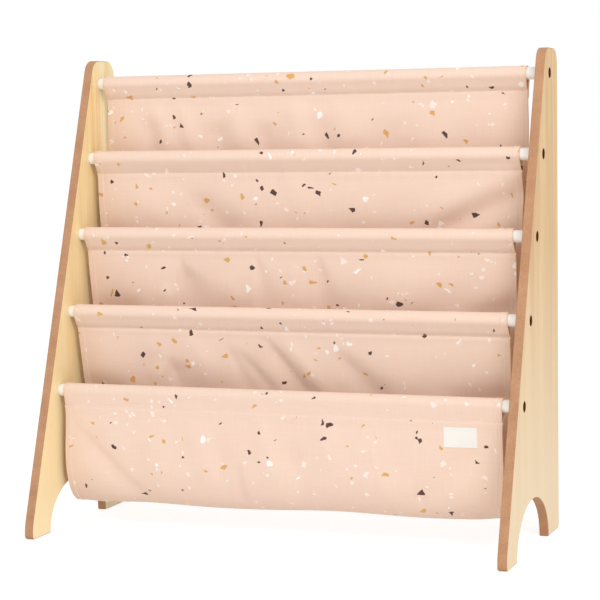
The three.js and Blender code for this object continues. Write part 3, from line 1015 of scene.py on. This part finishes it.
class Rods:
    """Places that the cloth takes from the rods, in depth and height."""

    def __init__(self, sizes: SlingSizes) -> None:
        """Read each rod's axis and radius from the frame."""
        self.sizes = sizes
        boxes = [np.array(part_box(f"rod_{number + 1}")) for number in range(ROD_COUNT)]
        self.axes = [box[:, 1:].mean(axis=0) for box in boxes]
        self.radius = (boxes[0][1, 2] - boxes[0][0, 2]) / 2

    def seam(self, number: int) -> np.ndarray:
        """The top of the seam under a rod, in the middle of its front layer."""
        forward = number == ROD_COUNT - 1
        shift = -self.sizes.lip_setforward if forward else self.sizes.seam_setback
        return self.axes[number] + (shift, -self.sizes.seam_drop)

    def wall(self, number: int, height: float) -> float:
        """How deep the wall under a seam hangs at a height, sloping back as it goes down."""
        s = self.sizes
        seam = self.seam(number)
        if number == ROD_COUNT - 1:
            return seam[0]
        slope = s.top_wall_slope + (s.low_wall_slope - s.top_wall_slope) * number / (ROD_COUNT - 2)
        return seam[0] + slope * (seam[1] - s.seam_band - height)


class ClothStrip:
    """One length of sling cloth: sleeve, back wall, round bottom and front wall of one pocket.

    The strip is a surface of two parameters, x along the rods and s along the cloth. Its section is
    a path in depth and height, which the drapes of the two seams push forward and back.
    """

    def __init__(self, number: int, rods: Rods, drapes: Sequence[SeamDrape]) -> None:
        """Lay out the section's path and take the strip's ends from its CAD solid."""
        self.number = number
        self.rods = rods
        self.sizes = rods.sizes
        self.upper, self.lower = drapes[number], drapes[number + 1]
        self.is_lowest = number == ROD_COUNT - 2
        self.node = f"pocket_panel_{number + 1}"
        low, high = (np.array(corner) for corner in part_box(self.node))
        self.x_low, self.x_high = low[0], high[0]
        self.middle = (low[0] + high[0]) / 2
        self.half_width = (high[0] - low[0]) / 2
        self.seam_heights = [rods.seam(number)[1], rods.seam(number + 1)[1]]
        self.lay_path()

    def sleeve(self, number: int, seam: np.ndarray, back: float) -> list[np.ndarray]:
        """A sleeve's path: up from its back foot, round the rod and down to the front of the seam.

        The front falls from the rod to the seam in a slack belly, t squared (1 - t) over its peak
        times the belly's depth, so that it leaves the rod smoothly and turns in above the seam.

        Args:
            number: The rod's number.
            seam: The top of the seam, in the middle of the front layer.
            back: How far behind the seam the sleeve's back foot stands.

        Returns:
            Stretches of points, from the back foot to the seam.
        """
        axis, s = self.rods.axes[number], self.sizes
        radius = self.rods.radius + s.sleeve_slack + s.thickness / 2
        foot = seam + (back, 0)
        turns = []
        for place, way in ((foot, 1), (seam, -1)):
            reach = place - axis
            turns.append(math.atan2(reach[1], reach[0]) + way * math.acos(radius / np.linalg.norm(reach)))
        turn = np.linspace(turns[0], turns[1] + 2 * np.pi, s.mesh.turn_points)
        round_rod = axis + radius * np.stack([np.cos(turn), np.sin(turn)], 1)
        fall = seam - round_rod[-1]
        out = np.array([fall[1], -fall[0]]) / np.linalg.norm(fall)
        share = np.linspace(0, 1, s.mesh.fall_points)[1:, None]
        peak = 4 / 27  # the most that t squared (1 - t) comes to, at t of two thirds
        belly = s.sleeve_bellies[number] * share ** 2 * (1 - share) / peak
        return [foot[None], round_rod, round_rod[-1] + share * fall + belly * out]

    def bottom_curve(self) -> list[np.ndarray]:
        """Two cubic curves that carry the back wall round the pocket's bottom into its front wall."""
        s, rods, number = self.sizes, self.rods, self.number
        spread = 0 if self.is_lowest else s.layer_spread
        drop = rods.axes[-1][1] - s.ground_clearance
        bottom = rods.axes[number + 1][1] - drop
        level = bottom + s.round_height
        steered = level - s.quarter_round * s.round_height
        back, front = rods.wall(number, level), rods.wall(number + 1, level) + spread
        back_steer, front_steer = rods.wall(number, steered), rods.wall(number + 1, steered) + spread
        middle, reach = (back + front) / 2, s.quarter_round * (back - front) / 2
        self.bottom_height = bottom
        corners = [[(back, level), (back_steer, steered), (middle + reach, bottom), (middle, bottom)],
                   [(middle, bottom), (middle - reach, bottom), (front_steer, steered), (front, level)]]
        share = np.linspace(0, 1, s.mesh.curve_points)[:, None]
        blend = [(1 - share) ** 3, 3 * share * (1 - share) ** 2, 3 * share ** 2 * (1 - share), share ** 3]
        return [sum(b * np.array(c) for b, c in zip(blend, curve)) for curve in corners]

    def lay_path(self) -> None:
        """Join the stretches into one path, smooth it a little and measure it."""
        s, number = self.sizes, self.number
        upper, lower = self.rods.seam(number), self.rods.seam(number + 1)
        step = s.layer_step
        back_curve, front_curve = self.bottom_curve()
        tail = (upper + (step, -s.seam_band - s.tail))[None]
        start = [tail] + self.sleeve(number, upper, step) + [(upper - (0, s.seam_band))[None]]
        if self.is_lowest:
            end = [(lower - (0, s.seam_band))[None], lower[None]]
            front_sleeve = self.sleeve(number + 1, lower, step)
            around = [part[::-1] for part in front_sleeve[::-1]]
            end += around[1:] + [(lower + (step, -s.seam_band - s.tail))[None]]
        else:
            end = [(lower + (2 * step, -s.seam_band))[None], (lower + (2 * step, s.tuck))[None]]
        marks = [start, [back_curve], [front_curve], end]
        points, spans = [], []
        for group in marks:
            spans.append(sum(map(len, points)))
            points += group
        path = np.vstack(points)
        keep = np.r_[True, np.linalg.norm(np.diff(path, axis=0), axis=1) > s.mesh.same_place]
        numbers = np.cumsum(keep) - 1
        path = path[keep]
        length = np.r_[0, np.cumsum(np.linalg.norm(np.diff(path, axis=0), axis=1))]
        self.round_start, self.round_middle, self.round_end = (
            length[numbers[k]] for k in (spans[1], spans[2], spans[3] - 1))
        self.s_path = np.arange(0, length[-1], s.mesh.path_step)
        depth, height = (np.interp(self.s_path, length, path[:, k]) for k in (0, 1))
        window = np.hanning(s.mesh.path_smoothing)
        window /= window.sum()
        pad = len(window) // 2
        self.depth_path, self.height_path = (
            np.convolve(np.pad(line, pad, mode="edge"), window, mode="valid") for line in (depth, height))
        self.length = self.s_path[-1]
        self.s_seam = self.nearest(upper, 0, self.round_start)
        self.s_lower = (self.nearest(lower, self.round_end, self.length) if self.is_lowest
                        else self.length - s.tuck)

    def nearest(self, place: np.ndarray, low: float, high: float) -> float:
        """Where along the path, between two lengths, it comes nearest to a place in front of it."""
        inside = (self.s_path >= low) & (self.s_path <= high)
        away = np.hypot(self.depth_path - place[0], self.height_path - place[1])
        return float(self.s_path[np.argmin(np.where(inside, away, np.inf))])

    def place(self, x: np.ndarray, s: np.ndarray) -> np.ndarray:
        """The middle of the cloth at places on the flat strip.

        The section's path is pushed forward by what hangs from its two seams, whose shares change
        over round the bottom, and by the seams' puckers. Its bottom sags, and its side edges waver.

        Args:
            x: Places along the rods.
            s: Lengths along the cloth, in a shape that broadcasts with x.

        Returns:
            Points, with the three coordinates last.
        """
        z = self.sizes
        x, s = np.broadcast_arrays(np.asarray(x, float), np.asarray(s, float))
        depth = np.interp(s, self.s_path, self.depth_path)
        height = np.interp(s, self.s_path, self.height_path)
        across = smooth(s, self.round_start, self.round_end)
        u = x - self.middle
        above, below = height - self.seam_heights[0], height - self.seam_heights[1]
        back_drop = np.where(s < self.s_seam, -above, s - self.s_seam) - z.seam_band
        front_drop = np.where(s > self.s_lower, -below, self.s_lower - s) - z.seam_band
        back_push = self.upper.hang(u, np.maximum(back_drop, 0), self.half_width)
        front_push = self.lower.hang(u, np.maximum(front_drop, 0), self.half_width)
        push = ((1 - across) * (1 - smooth(above, 0, z.rod_hold)) * back_push
                + across * (1 - smooth(below, 0, z.rod_hold)) * front_push)
        push = push + np.where(s < self.round_middle, self.upper.puckers(u, above),
                               self.lower.puckers(u, below))
        rise = (self.seam_heights[1] - self.bottom_height) / 2
        sag = 1 - smooth(height, self.bottom_height, self.bottom_height + rise)
        dip = z.sag * np.sin(2 * np.pi * u / z.sag_pitch) + z.hem_tilt * u / (2 * self.half_width)
        dip = dip + z.end_lift * smooth(np.abs(u), self.half_width - z.end_lift_width, self.half_width)
        reach = z.edge_wave * np.sin(s * 2 * np.pi / z.edge_pitch + self.number)
        for seam in (self.s_seam, self.s_lower):
            reach = reach + z.seam_reach * np.exp(-((s - seam) / z.seam_reach_width) ** 2)
        right = (1 - across) * self.upper.right_reach + across * self.lower.right_reach
        reach = np.sign(u) * reach + np.where(u > 0, right, 0)
        edge = reach * smooth(np.abs(u), self.half_width - z.edge_width, self.half_width)
        return np.stack([x + edge, depth - push, height + sag * dip], -1)

    def normal(self, x: np.ndarray, s: np.ndarray) -> np.ndarray:
        """The cloth's outer direction: the cross product of its slopes along s and along x."""
        return unit(np.cross(self.slope(x, s, SLOPE_STEP, 0.0), self.slope(x, s, 0.0, SLOPE_STEP)))

    def slope(self, x: np.ndarray, s: np.ndarray, step_x: float, step_s: float) -> np.ndarray:
        """How the cloth's place changes from a step before places on it to a step past them."""
        return self.place(x + step_x, s + step_s) - self.place(x - step_x, s - step_s)

    def stations_across(self) -> np.ndarray:
        """Places along the rods: close together over the two side hems and even between them."""
        mesh = self.sizes.mesh
        hem, inset = np.array(mesh.hem_stations) * MM, mesh.inner_inset
        inner = np.linspace(self.x_low + inset, self.x_high - inset, mesh.inner_columns)
        return np.concatenate([self.x_low + hem, inner, (self.x_high - hem)[::-1]])

    def stations_along(self) -> np.ndarray:
        """Lengths along the cloth, by marks that each end a stretch of even steps in millimetres.

        The steps are finest over the welts at the seams, fine round the rods and wide where the
        walls hang out of sight.
        """
        visible, welt, near = 95 * MM, 2.4 * MM, 10 * MM
        marks = [(0, 2.2), (self.s_seam - near, 2.2), (self.s_seam - welt, 1.0),
                 (self.s_seam + welt, 0.4), (self.s_seam + near, 1.0), (self.s_seam + visible, 2.8),
                 (self.round_start + 30 * MM, 4.5), (self.round_middle - 12 * MM, 3.0),
                 (self.round_middle + 12 * MM, 1.3), (self.round_end, 3.0)]
        if self.is_lowest:
            marks += [(self.s_lower - near, 2.8), (self.s_lower - welt, 1.0),
                      (self.s_lower + welt, 0.4), (self.s_lower + near, 1.0), (self.length, 2.2)]
        else:
            marks += [(self.length - 8 * MM, 4.0), (self.length, 1.5)]
        stations = [np.zeros(1)]
        for (start, _), (end, step) in zip(marks, marks[1:]):
            count = max(1, math.ceil((end - start) / (step * MM)))
            stations.append(np.linspace(start, end, count + 1)[1:])
        return np.concatenate(stations)

    def half_thickness(self, x: np.ndarray, s: np.ndarray) -> tuple[np.ndarray, np.ndarray]:
        """Half the cloth's thickness on its two faces, at places on the flat strip.

        It thins to its raw rim, grows where the side hem is doubled, away from seams and tails, and
        stands out in a welt where the sleeve is sewn down: a ledge of exp(-(d / width) squared) on
        the sleeve's side, which eases to nothing on the wall's side.
        """
        z = self.sizes
        inward = np.minimum(x - self.x_low, self.x_high - x)
        doubled = 1 - smooth(inward, z.hem_width - z.hem_ramp, z.hem_width)
        from_seam = np.minimum(np.abs(s - self.s_seam), np.abs(s - self.s_lower))
        from_end = np.minimum(s, self.length - s) - z.tail - z.seam_band
        doubled = doubled * smooth(from_seam, *z.hem_clear) * smooth(from_end, 0, z.tail_ease)
        thin = z.rim_share + (1 - z.rim_share) * smooth(inward, 0, z.rim_width)
        half = (z.thickness + z.hem_growth * doubled) / 2 * thin
        front, back = (
            half + z.welt * np.where(into_wall < 0, np.exp(-(into_wall / z.welt_width) ** 2),
                                     1 - smooth(into_wall, 0, z.welt_fall))
            for into_wall in (self.s_lower - s, s - self.s_seam))
        return (front if self.is_lowest else half), back

    def build(self, finishes: Finishes, goes_with: Sequence[bpy.types.Object]) -> bpy.types.Object:
        """The two faces are the middle surface moved along its normal by half the thickness, and a
        narrow band joins them round the border.
        """
        across, along = self.stations_across(), self.stations_along()
        s, x = np.meshgrid(along, across, indexing="ij")
        middle, normal = self.place(x, s), self.normal(x, s)
        front, back = self.half_thickness(x, s)
        points, faces = closed_sheet(middle + normal * front[..., None], middle - normal * back[..., None])
        piece = mesh_piece(f"sling_cloth_{self.number + 1}", points, faces, finishes.canvas)
        flat = np.stack([x.ravel(), s.ravel() + self.sizes.mesh.map_step * self.number], 1)
        add_cloth_map(piece, np.vstack([flat, flat + self.sizes.mesh.map_shift]))
        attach(piece, BODY)
        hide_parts(self.node)
        log.info("%s: %d faces, %.0f mm long", piece.name, len(piece.data.polygons), self.length / MM)
        return piece


@dataclass
class StitchRows:
    """Rows of stitches laid on a face of the cloth, each a short thread that dips at its ends."""

    name: str
    pitch: float = 3.4 * MM
    length: float = 2.9 * MM
    thread: float = 0.28 * MM
    sides: int = 5
    rings: int = 4

    def template(self) -> tuple[np.ndarray, np.ndarray]:
        """One stitch as rings round its length: radius r sin(pi t) to the power 0.4, sunk at its ends."""
        share = np.linspace(0.02, 0.98, self.rings)
        turn = np.linspace(0, 2 * np.pi, self.sides, endpoint=False)
        radius = self.thread * np.sin(np.pi * share) ** 0.4
        rise = self.thread * (0.9 * np.sin(np.pi * share) - 0.1)
        along = (share - 0.5)[:, None] * self.length + 0 * turn
        aside = radius[:, None] * np.cos(turn)
        up = rise[:, None] + radius[:, None] * np.sin(turn)
        points = np.stack([along, aside, up], -1).reshape(-1, 3)
        return points, grid_faces(self.rings, self.sides, wrap=True)

    def build(self, centres: np.ndarray, along: np.ndarray, up: np.ndarray,
              finishes: Finishes, slot: str) -> bpy.types.Object:
        """Copy the stitch to each centre, turned to its row and to the cloth under it."""
        shape, quads = self.template()
        aside = np.cross(up, along)
        axes = np.stack([along, aside, up], 1)
        points = (centres[:, None] + np.einsum("pk,nkj->npj", shape, axes)).reshape(-1, 3)
        start = (np.arange(len(centres)) * len(shape))[:, None, None]
        faces = (quads[None] + start).reshape(-1, 4).tolist()
        first = (np.arange(self.sides)[None] + start[:, 0]).tolist()
        last = (np.arange(len(shape) - self.sides, len(shape))[::-1][None] + start[:, 0]).tolist()
        piece = mesh_piece(self.name, points, faces + first + last, finishes.thread)
        recalculate_outward(piece)
        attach(piece, BODY)
        log.info("%s: %d stitches", self.name, len(centres))
        return piece


@dataclass
class SewnLabel:
    """The bare woven label on the front pocket, sewn down along its two short sides."""

    strip: ClothStrip
    width: float = 42 * MM
    height: float = 25 * MM
    thickness: float = 0.5 * MM
    side_inset: float = 29 * MM
    seam_gap: float = 2 * MM
    border: float = 1.2 * MM
    rim_width: float = 0.5 * MM
    rim_share: float = 0.35
    stitch_sink: float = 0.16 * MM
    stitch_sink_width: float = 0.45 * MM
    backing_gap: float = 0.1 * MM
    top_curl: float = 0.15 * MM
    top_curl_length: float = 6 * MM
    steps: tuple[int, int] = (60, 36)

    def span(self) -> tuple[float, float, float, float]:
        """The label's left and right x, and the lengths of its top and foot along the cloth."""
        right = self.strip.x_high - self.side_inset
        top = self.strip.s_lower - self.strip.sizes.seam_band - self.seam_gap
        return right - self.width, right, top, top - self.height

    def heights(self, x: np.ndarray, s: np.ndarray) -> tuple[np.ndarray, np.ndarray]:
        """How far the label's lower and upper faces stand from the middle of the cloth under it."""
        left, right, top, foot = self.span()
        inward = np.minimum.reduce([x - left, right - x, s - foot, top - s])
        crown = self.rim_share + (1 - self.rim_share) * smooth(inward, 0, self.rim_width)
        sewn = np.minimum(x - left, right - x) - self.border
        sink = self.stitch_sink * np.exp(-(sewn / self.stitch_sink_width) ** 2)
        lift = self.backing_gap + self.top_curl * smooth(s, top - self.top_curl_length, top)
        lower = self.strip.half_thickness(x, s)[0] + lift
        return lower, lower + self.thickness * crown - sink

    def stitches(self, finishes: Finishes) -> bpy.types.Object:
        """A row of small stitches down each short side, in the sunk line inside the border."""
        left, right, top, foot = self.span()
        rows = StitchRows("label_stitches", pitch=2.4 * MM, length=2.0 * MM, thread=0.2 * MM)
        s = np.arange(foot + 0.7 * rows.pitch, top - 0.5 * rows.pitch, rows.pitch)
        x = np.concatenate([np.full(len(s), left + self.border), np.full(len(s), right - self.border)])
        s = np.concatenate([s, s])
        along = unit(self.strip.slope(x, s, 0.0, SLOPE_STEP))
        up = self.strip.normal(x, s)
        centres = self.strip.place(x, s) + up * self.heights(x, s)[1][:, None]
        return rows.build(centres, along, up, finishes, "label_cloth")

    def build(self, finishes: Finishes) -> bpy.types.Object:
        """A closed sheet on the cloth's outer face, with rounded rims and slightly sunk stitch lines."""
        left, right, top, foot = self.span()
        columns, rows = self.steps
        ease = (1 - np.cos(np.linspace(0, np.pi, rows))) / 2
        x, s = np.meshgrid(np.linspace(left, right, columns), foot + (top - foot) * ease)
        base, normal = self.strip.place(x, s), self.strip.normal(x, s)
        lower, upper = (base + normal * height[..., None] for height in self.heights(x, s))
        piece = mesh_piece("woven_label", *closed_sheet(upper, lower), finishes.label)
        flat = np.stack([x.ravel(), s.ravel()], 1)
        add_cloth_map(piece, np.vstack([flat, flat]))
        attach(piece, BODY)
        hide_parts("sewn_label")
        log.info("woven_label: %d faces", len(piece.data.polygons))
        return piece


@dataclass
class Sling:
    """The whole cloth sling: four strips, their stitches and the label."""

    sizes: SlingSizes = field(default_factory=SlingSizes)
    stitch_rise: float = 2.0 * MM
    stitch_margin: float = 1.5 * MM
    hem_stitch_inset: float = 7.4 * MM
    thread_room: float = 1.7 * MM

    def drapes(self) -> list[SeamDrape]:
        """The folds seen under each seam, in millimetres, from the highest seam to the lowest."""
        first = (
            Fold((-221, 5), (-200, 66), (14, 14), 3.2), Fold((-184, 6), (-166, 66), (12, 12), 2.8),
            Fold((-109, 7), (-96, 66), (15, 15), 3.0), Fold((-24, 4), (-10, 66), (17, 18), 3.4),
            Fold((48, 6), (60, 60), (20, 20), 1.8), Fold((-231, 26), (-226, 80), (14, 14), -4.0),
            Fold((-134, 34), (-128, 80), (16, 15), -4.0), Fold((-65, 34), (-57, 80), (16, 15), -4.0),
            Fold((12, 30), (24, 80), (17, 17), -3.4), Fold((120, 30), (126, 74), (24, 24), -1.8))
        second = (
            Fold((-190, 2), (-147, 35), (16, 18), -1.4), Fold((-150, 32), (-98, 82), (19, 21), -5.6, 0.4),
            Fold((-235, 20), (-185, 66), (18, 16), 1.8), Fold((-13, 3), (5, 66), (15, 15), 1.3),
            Fold((165, 50), (285, -4), (14, 20), 2.4), Fold((166, 78), (292, 22), (17, 14), -7.0),
            Fold((50, 80), (150, 80), (18, 20), -3.0), Fold((-292, 82), (-240, 82), (16, 18), -2.8))
        third = (
            Fold((-286, 82), (-228, 84), (18, 21), -7.0), Fold((-159, 16), (-153, 88), (6, 30), -8.0, 1.4),
            Fold((-53, 4), (-45, 80), (6, 17), -3.8, 1.4), Fold((-98, 30), (-78, 66), (14, 14), 1.2),
            Fold((33, 10), (35, 84), (10, 17), -4.8, 1.2), Fold((2, 20), (2, 64), (13, 12), 1.3),
            Fold((100, 86), (180, 84), (14, 16), -3.4), Fold((225, 86), (294, 60), (17, 17), -6.5),
            Fold((110, 28), (200, 32), (20, 20), 1.4), Fold((-184, 90), (-178, 50), (11, 12), 3.4))
        fourth = (
            Fold((-292, 78), (-230, 92), (18, 18), -6.5), Fold((-186, 94), (-180, 50), (12, 12), 3.8),
            Fold((-162, 42), (-146, 94), (9, 34), -5.5, 1.0),
            Fold((-78, 22), (-50, 80), (10, 9), -2.6, 0.6), Fold((-62, 28), (-20, 80), (10, 8), -2.8, 0.6),
            Fold((-22, 14), (27, 84), (20, 10), -6.5, 0.8), Fold((-2, 6), (56, 76), (10, 12), 1.8),
            Fold((68, 24), (126, 84), (20, 14), -4.6, 0.6), Fold((215, 90), (294, 72), (18, 19), -6.5),
            Fold((-132, 6), (-112, 42), (12, 12), 1.4), Fold((-190, 10), (-170, 44), (13, 13), 1.2))
        fifth = (
            Fold((-273, 25), (-186, 110), (17, 8), -3.3), Fold((-52, 56), (-45, 118), (10, 6), -2.4),
            Fold((-170, 26), (-160, 112), (20, 20), 2.0), Fold((182, 106), (264, 28), (18, 18), -3.6),
            Fold((66, 2), (70, 56), (15, 15), 2.2), Fold((189, 84), (198, 118), (8, 5), -1.5),
            Fold((-115, 6), (-90, 80), (18, 18), 2.6), Fold((-20, 4), (-6, 70), (14, 14), 2.3),
            Fold((-240, 8), (-205, 60), (18, 18), 2.2), Fold((120, 20), (150, 100), (22, 22), 2.4),
            Fold((-80, 30), (-66, 100), (12, 12), -2.2), Fold((24, 40), (34, 116), (14, 14), -2.2))
        return [SeamDrape(0, first, wave=1.2 * MM), SeamDrape(1, second), SeamDrape(2, third),
                SeamDrape(3, fourth, right_reach=0.8 * MM),
                SeamDrape(4, fifth, wave=1.5 * MM, wave_onset=70 * MM, right_reach=2.6 * MM)]

    def seam_stitches(self, strip: ClothStrip, is_lower: bool, finishes: Finishes) -> bpy.types.Object:
        """One row of stitches on the sleeve, just above the welt of its turned edge."""
        rows = StitchRows(f"seam_stitches_{strip.number + 1 + is_lower}")
        x = np.arange(strip.x_low + self.stitch_margin, strip.x_high - self.stitch_margin, rows.pitch)
        s = strip.s_lower + self.stitch_rise if is_lower else strip.s_seam - self.stitch_rise
        return self.row_on(strip, rows, x, np.full(len(x), s), 1 if is_lower else -1, True, finishes)

    def hem_stitches(self, strip: ClothStrip, is_front: bool, finishes: Finishes) -> bpy.types.Object:
        """Two rows of stitches down the side hems, on one face of the cloth.

        The stitches that would lie between a sleeve and its rod are left out: those whose cloth is
        nearer to the rod's axis than its radius and some room.
        """
        rows = StitchRows(f"hem_stitches_{strip.number + 1}_{'front' if is_front else 'back'}")
        s = np.arange(self.stitch_margin, strip.length - self.stitch_margin, rows.pitch)
        axis = strip.rods.axes[strip.number if is_front else strip.number + 1]
        _, depth, height = strip.place(strip.middle, s).T
        s = s[np.hypot(depth - axis[0], height - axis[1]) > strip.rods.radius + self.thread_room]
        inset = self.hem_stitch_inset
        x = np.concatenate([np.full(len(s), strip.x_low + inset), np.full(len(s), strip.x_high - inset)])
        return self.row_on(strip, rows, x, np.concatenate([s, s]), 1 if is_front else -1, False, finishes)

    def row_on(self, strip: ClothStrip, rows: StitchRows, x: np.ndarray, s: np.ndarray, face: int,
               along_x: bool, finishes: Finishes) -> bpy.types.Object:
        """Lay stitches on a face of a strip, along the rods or along the cloth.

        Args:
            strip: The cloth that carries them.
            rows: The size of a stitch.
            x: Places along the rods.
            s: Lengths along the cloth.
            face: One for the face to which the cloth's normal points, and less than nothing for the
                other.
            along_x: Whether the row runs along the rods.
            finishes: Where the thread comes from.

        Returns:
            The stitches, as one piece.
        """
        steps = (SLOPE_STEP, 0.0) if along_x else (0.0, SLOPE_STEP)
        along = unit(strip.slope(x, s, *steps))
        up = strip.normal(x, s) * face
        front, back = strip.half_thickness(x, s)
        centres = strip.place(x, s) + up * (front if face > 0 else back)[:, None]
        return rows.build(centres, along, up, finishes, "sling_cloth")

    def build(self, finishes: Finishes) -> None:
        """Make every strip with what is sewn on it."""
        rods, drapes = Rods(self.sizes), self.drapes()
        for number in range(ROD_COUNT - 1):
            strip = ClothStrip(number, rods, drapes)
            sewn = [self.hem_stitches(strip, is_front, finishes) for is_front in (True, False)]
            sewn.append(self.seam_stitches(strip, False, finishes))
            if strip.is_lowest:
                label = SewnLabel(strip)
                sewn += [self.seam_stitches(strip, True, finishes), label.build(finishes),
                         label.stitches(finishes)]
            strip.build(finishes, sewn)


# Camera, lights and floor


@dataclass(frozen=True)
class SoftLight:
    """A square soft light that faces the middle of the shelf."""

    name: str
    place: tuple[float, float, float]
    size: float
    power: float
    target: tuple[float, float, float] = (0.0, 0.0, 0.3)

    def build(self) -> None:
        """Hang the light at its place and turn it to its target."""
        data = bpy.data.lights.new(self.name, "AREA")
        data.size = self.size
        data.energy = self.power
        light = bpy.data.objects.new(self.name, data)
        turn = (Vector(self.target) - Vector(self.place)).to_track_quat("-Z", "Y")
        light.matrix_world = Matrix.Translation(self.place) @ turn.to_matrix().to_4x4()
        bpy.context.scene.collection.objects.link(light)


@dataclass
class Studio:
    """A bright seamless studio around the shelf, and the camera at the photograph's place."""

    eye: tuple[float, float, float] = (0.871336, -2.264489, 0.513789)
    yaw: float = 0.361791
    pitch: float = -0.088221
    roll: float = -0.015707
    focal_pixels: float = 1927.151
    frame_pixels: float = 600.0
    sensor: float = 36.0
    floor_drop: float = 0.4 * MM
    floor_reach: float = 30.0
    world_light: float = 0.66
    bounce_share: float = 0.93
    floor_share: float = 0.5
    floor_glow: float = 0.72
    lights: tuple[SoftLight, ...] = (SoftLight("key", (1.9, -2.0, 2.1), 1.3, 40.0),
                                     SoftLight("fill", (-1.8, -2.0, 1.4), 1.8, 10.0))

    def camera(self) -> None:
        """Point the camera along its yaw and pitch, then roll it.

        Forward is (-sin yaw cos pitch, cos yaw cos pitch, sin pitch), right is forward across up,
        and the roll turns right and up about forward.
        """
        level = math.cos(self.pitch)
        forward = Vector((-math.sin(self.yaw) * level, math.cos(self.yaw) * level, math.sin(self.pitch)))
        right = forward.cross(Vector((0, 0, 1))).normalized()
        up = right.cross(forward)
        cos, sin = math.cos(self.roll), math.sin(self.roll)
        right, up = cos * right + sin * up, cos * up - sin * right
        turn = Matrix((right, up, -forward)).transposed()
        data = bpy.data.cameras.new("camera")
        data.sensor_width = self.sensor
        data.lens = self.focal_pixels / self.frame_pixels * self.sensor
        camera = bpy.data.objects.new("camera", data)
        camera.matrix_world = Matrix.Translation(self.eye) @ turn.to_4x4()
        bpy.context.scene.collection.objects.link(camera)
        bpy.context.scene.camera = camera

    def seen_directly(self, tree: bpy.types.NodeTree) -> bpy.types.NodeSocket:
        """One for rays from the camera and for rays that gloss or clear material sends on."""
        path = tree.nodes.new("ShaderNodeLightPath")
        total = path.outputs["Is Camera Ray"]
        for name in ("Is Glossy Ray", "Is Transmission Ray"):
            larger = tree.nodes.new("ShaderNodeMath")
            larger.operation = "MAXIMUM"
            tree.links.new(total, larger.inputs[0])
            tree.links.new(path.outputs[name], larger.inputs[1])
            total = larger.outputs[0]
        return total

    def world(self) -> None:
        """White where it is seen, and a softer even light on everything else."""
        world = bpy.data.worlds.new("studio")
        world.use_nodes = True
        bpy.context.scene.world = world
        tree = world.node_tree
        background = tree.nodes["Background"]
        background.inputs["Color"].default_value = (1, 1, 1, 1)
        strength = tree.nodes.new("ShaderNodeMapRange")
        tree.links.new(self.seen_directly(tree), strength.inputs["Value"])
        strength.inputs["To Min"].default_value = self.world_light
        strength.inputs["To Max"].default_value = 1.0
        tree.links.new(strength.outputs["Result"], background.inputs["Strength"])

    def floor(self) -> None:
        """A wide pale sheet that shows white around the object and keeps its soft shadow."""
        reach, level = self.floor_reach, -self.floor_drop
        points = np.array([[-reach, -reach, level], [reach, -reach, level],
                           [reach, reach, level], [-reach, reach, level]])
        material = bpy.data.materials.new("studio_floor")
        material.use_nodes = True
        tree = material.node_tree
        tree.nodes.clear()
        plain, lit, glow, both, pick, out = (
            tree.nodes.new("ShaderNode" + kind) for kind in
            ("BsdfDiffuse", "BsdfDiffuse", "Emission", "AddShader", "MixShader", "OutputMaterial"))
        plain.inputs["Color"].default_value = (*[self.bounce_share] * 3, 1)
        lit.inputs["Color"].default_value = (*[self.floor_share] * 3, 1)
        glow.inputs["Strength"].default_value = self.floor_glow
        tree.links.new(lit.outputs[0], both.inputs[0])
        tree.links.new(glow.outputs[0], both.inputs[1])
        tree.links.new(self.seen_directly(tree), pick.inputs[0])
        tree.links.new(plain.outputs[0], pick.inputs[1])
        tree.links.new(both.outputs[0], pick.inputs[2])
        tree.links.new(pick.outputs[0], out.inputs["Surface"])
        mesh_piece("floor", points, [[0, 1, 2, 3]], material)

    def build(self) -> None:
        """Set the camera, the lights and the floor."""
        self.camera()
        self.world()
        for light in self.lights:
            light.build()
        self.floor()
        bpy.context.scene.view_settings.view_transform = "Standard"
        log.info("studio ready")


def main() -> None:
    """Build the studio and the shelf, piece by piece."""
    logging.basicConfig(level=logging.INFO, format="%(name)s %(message)s")
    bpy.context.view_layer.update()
    Studio().build()
    finishes = Finishes()
    for side in Side:
        SidePanel(side).build(finishes)
    for number in range(ROD_COUNT):
        RodWithFastenings(number).build(finishes)
    Sling().build(finishes)


if __name__ == "__main__":
    main()
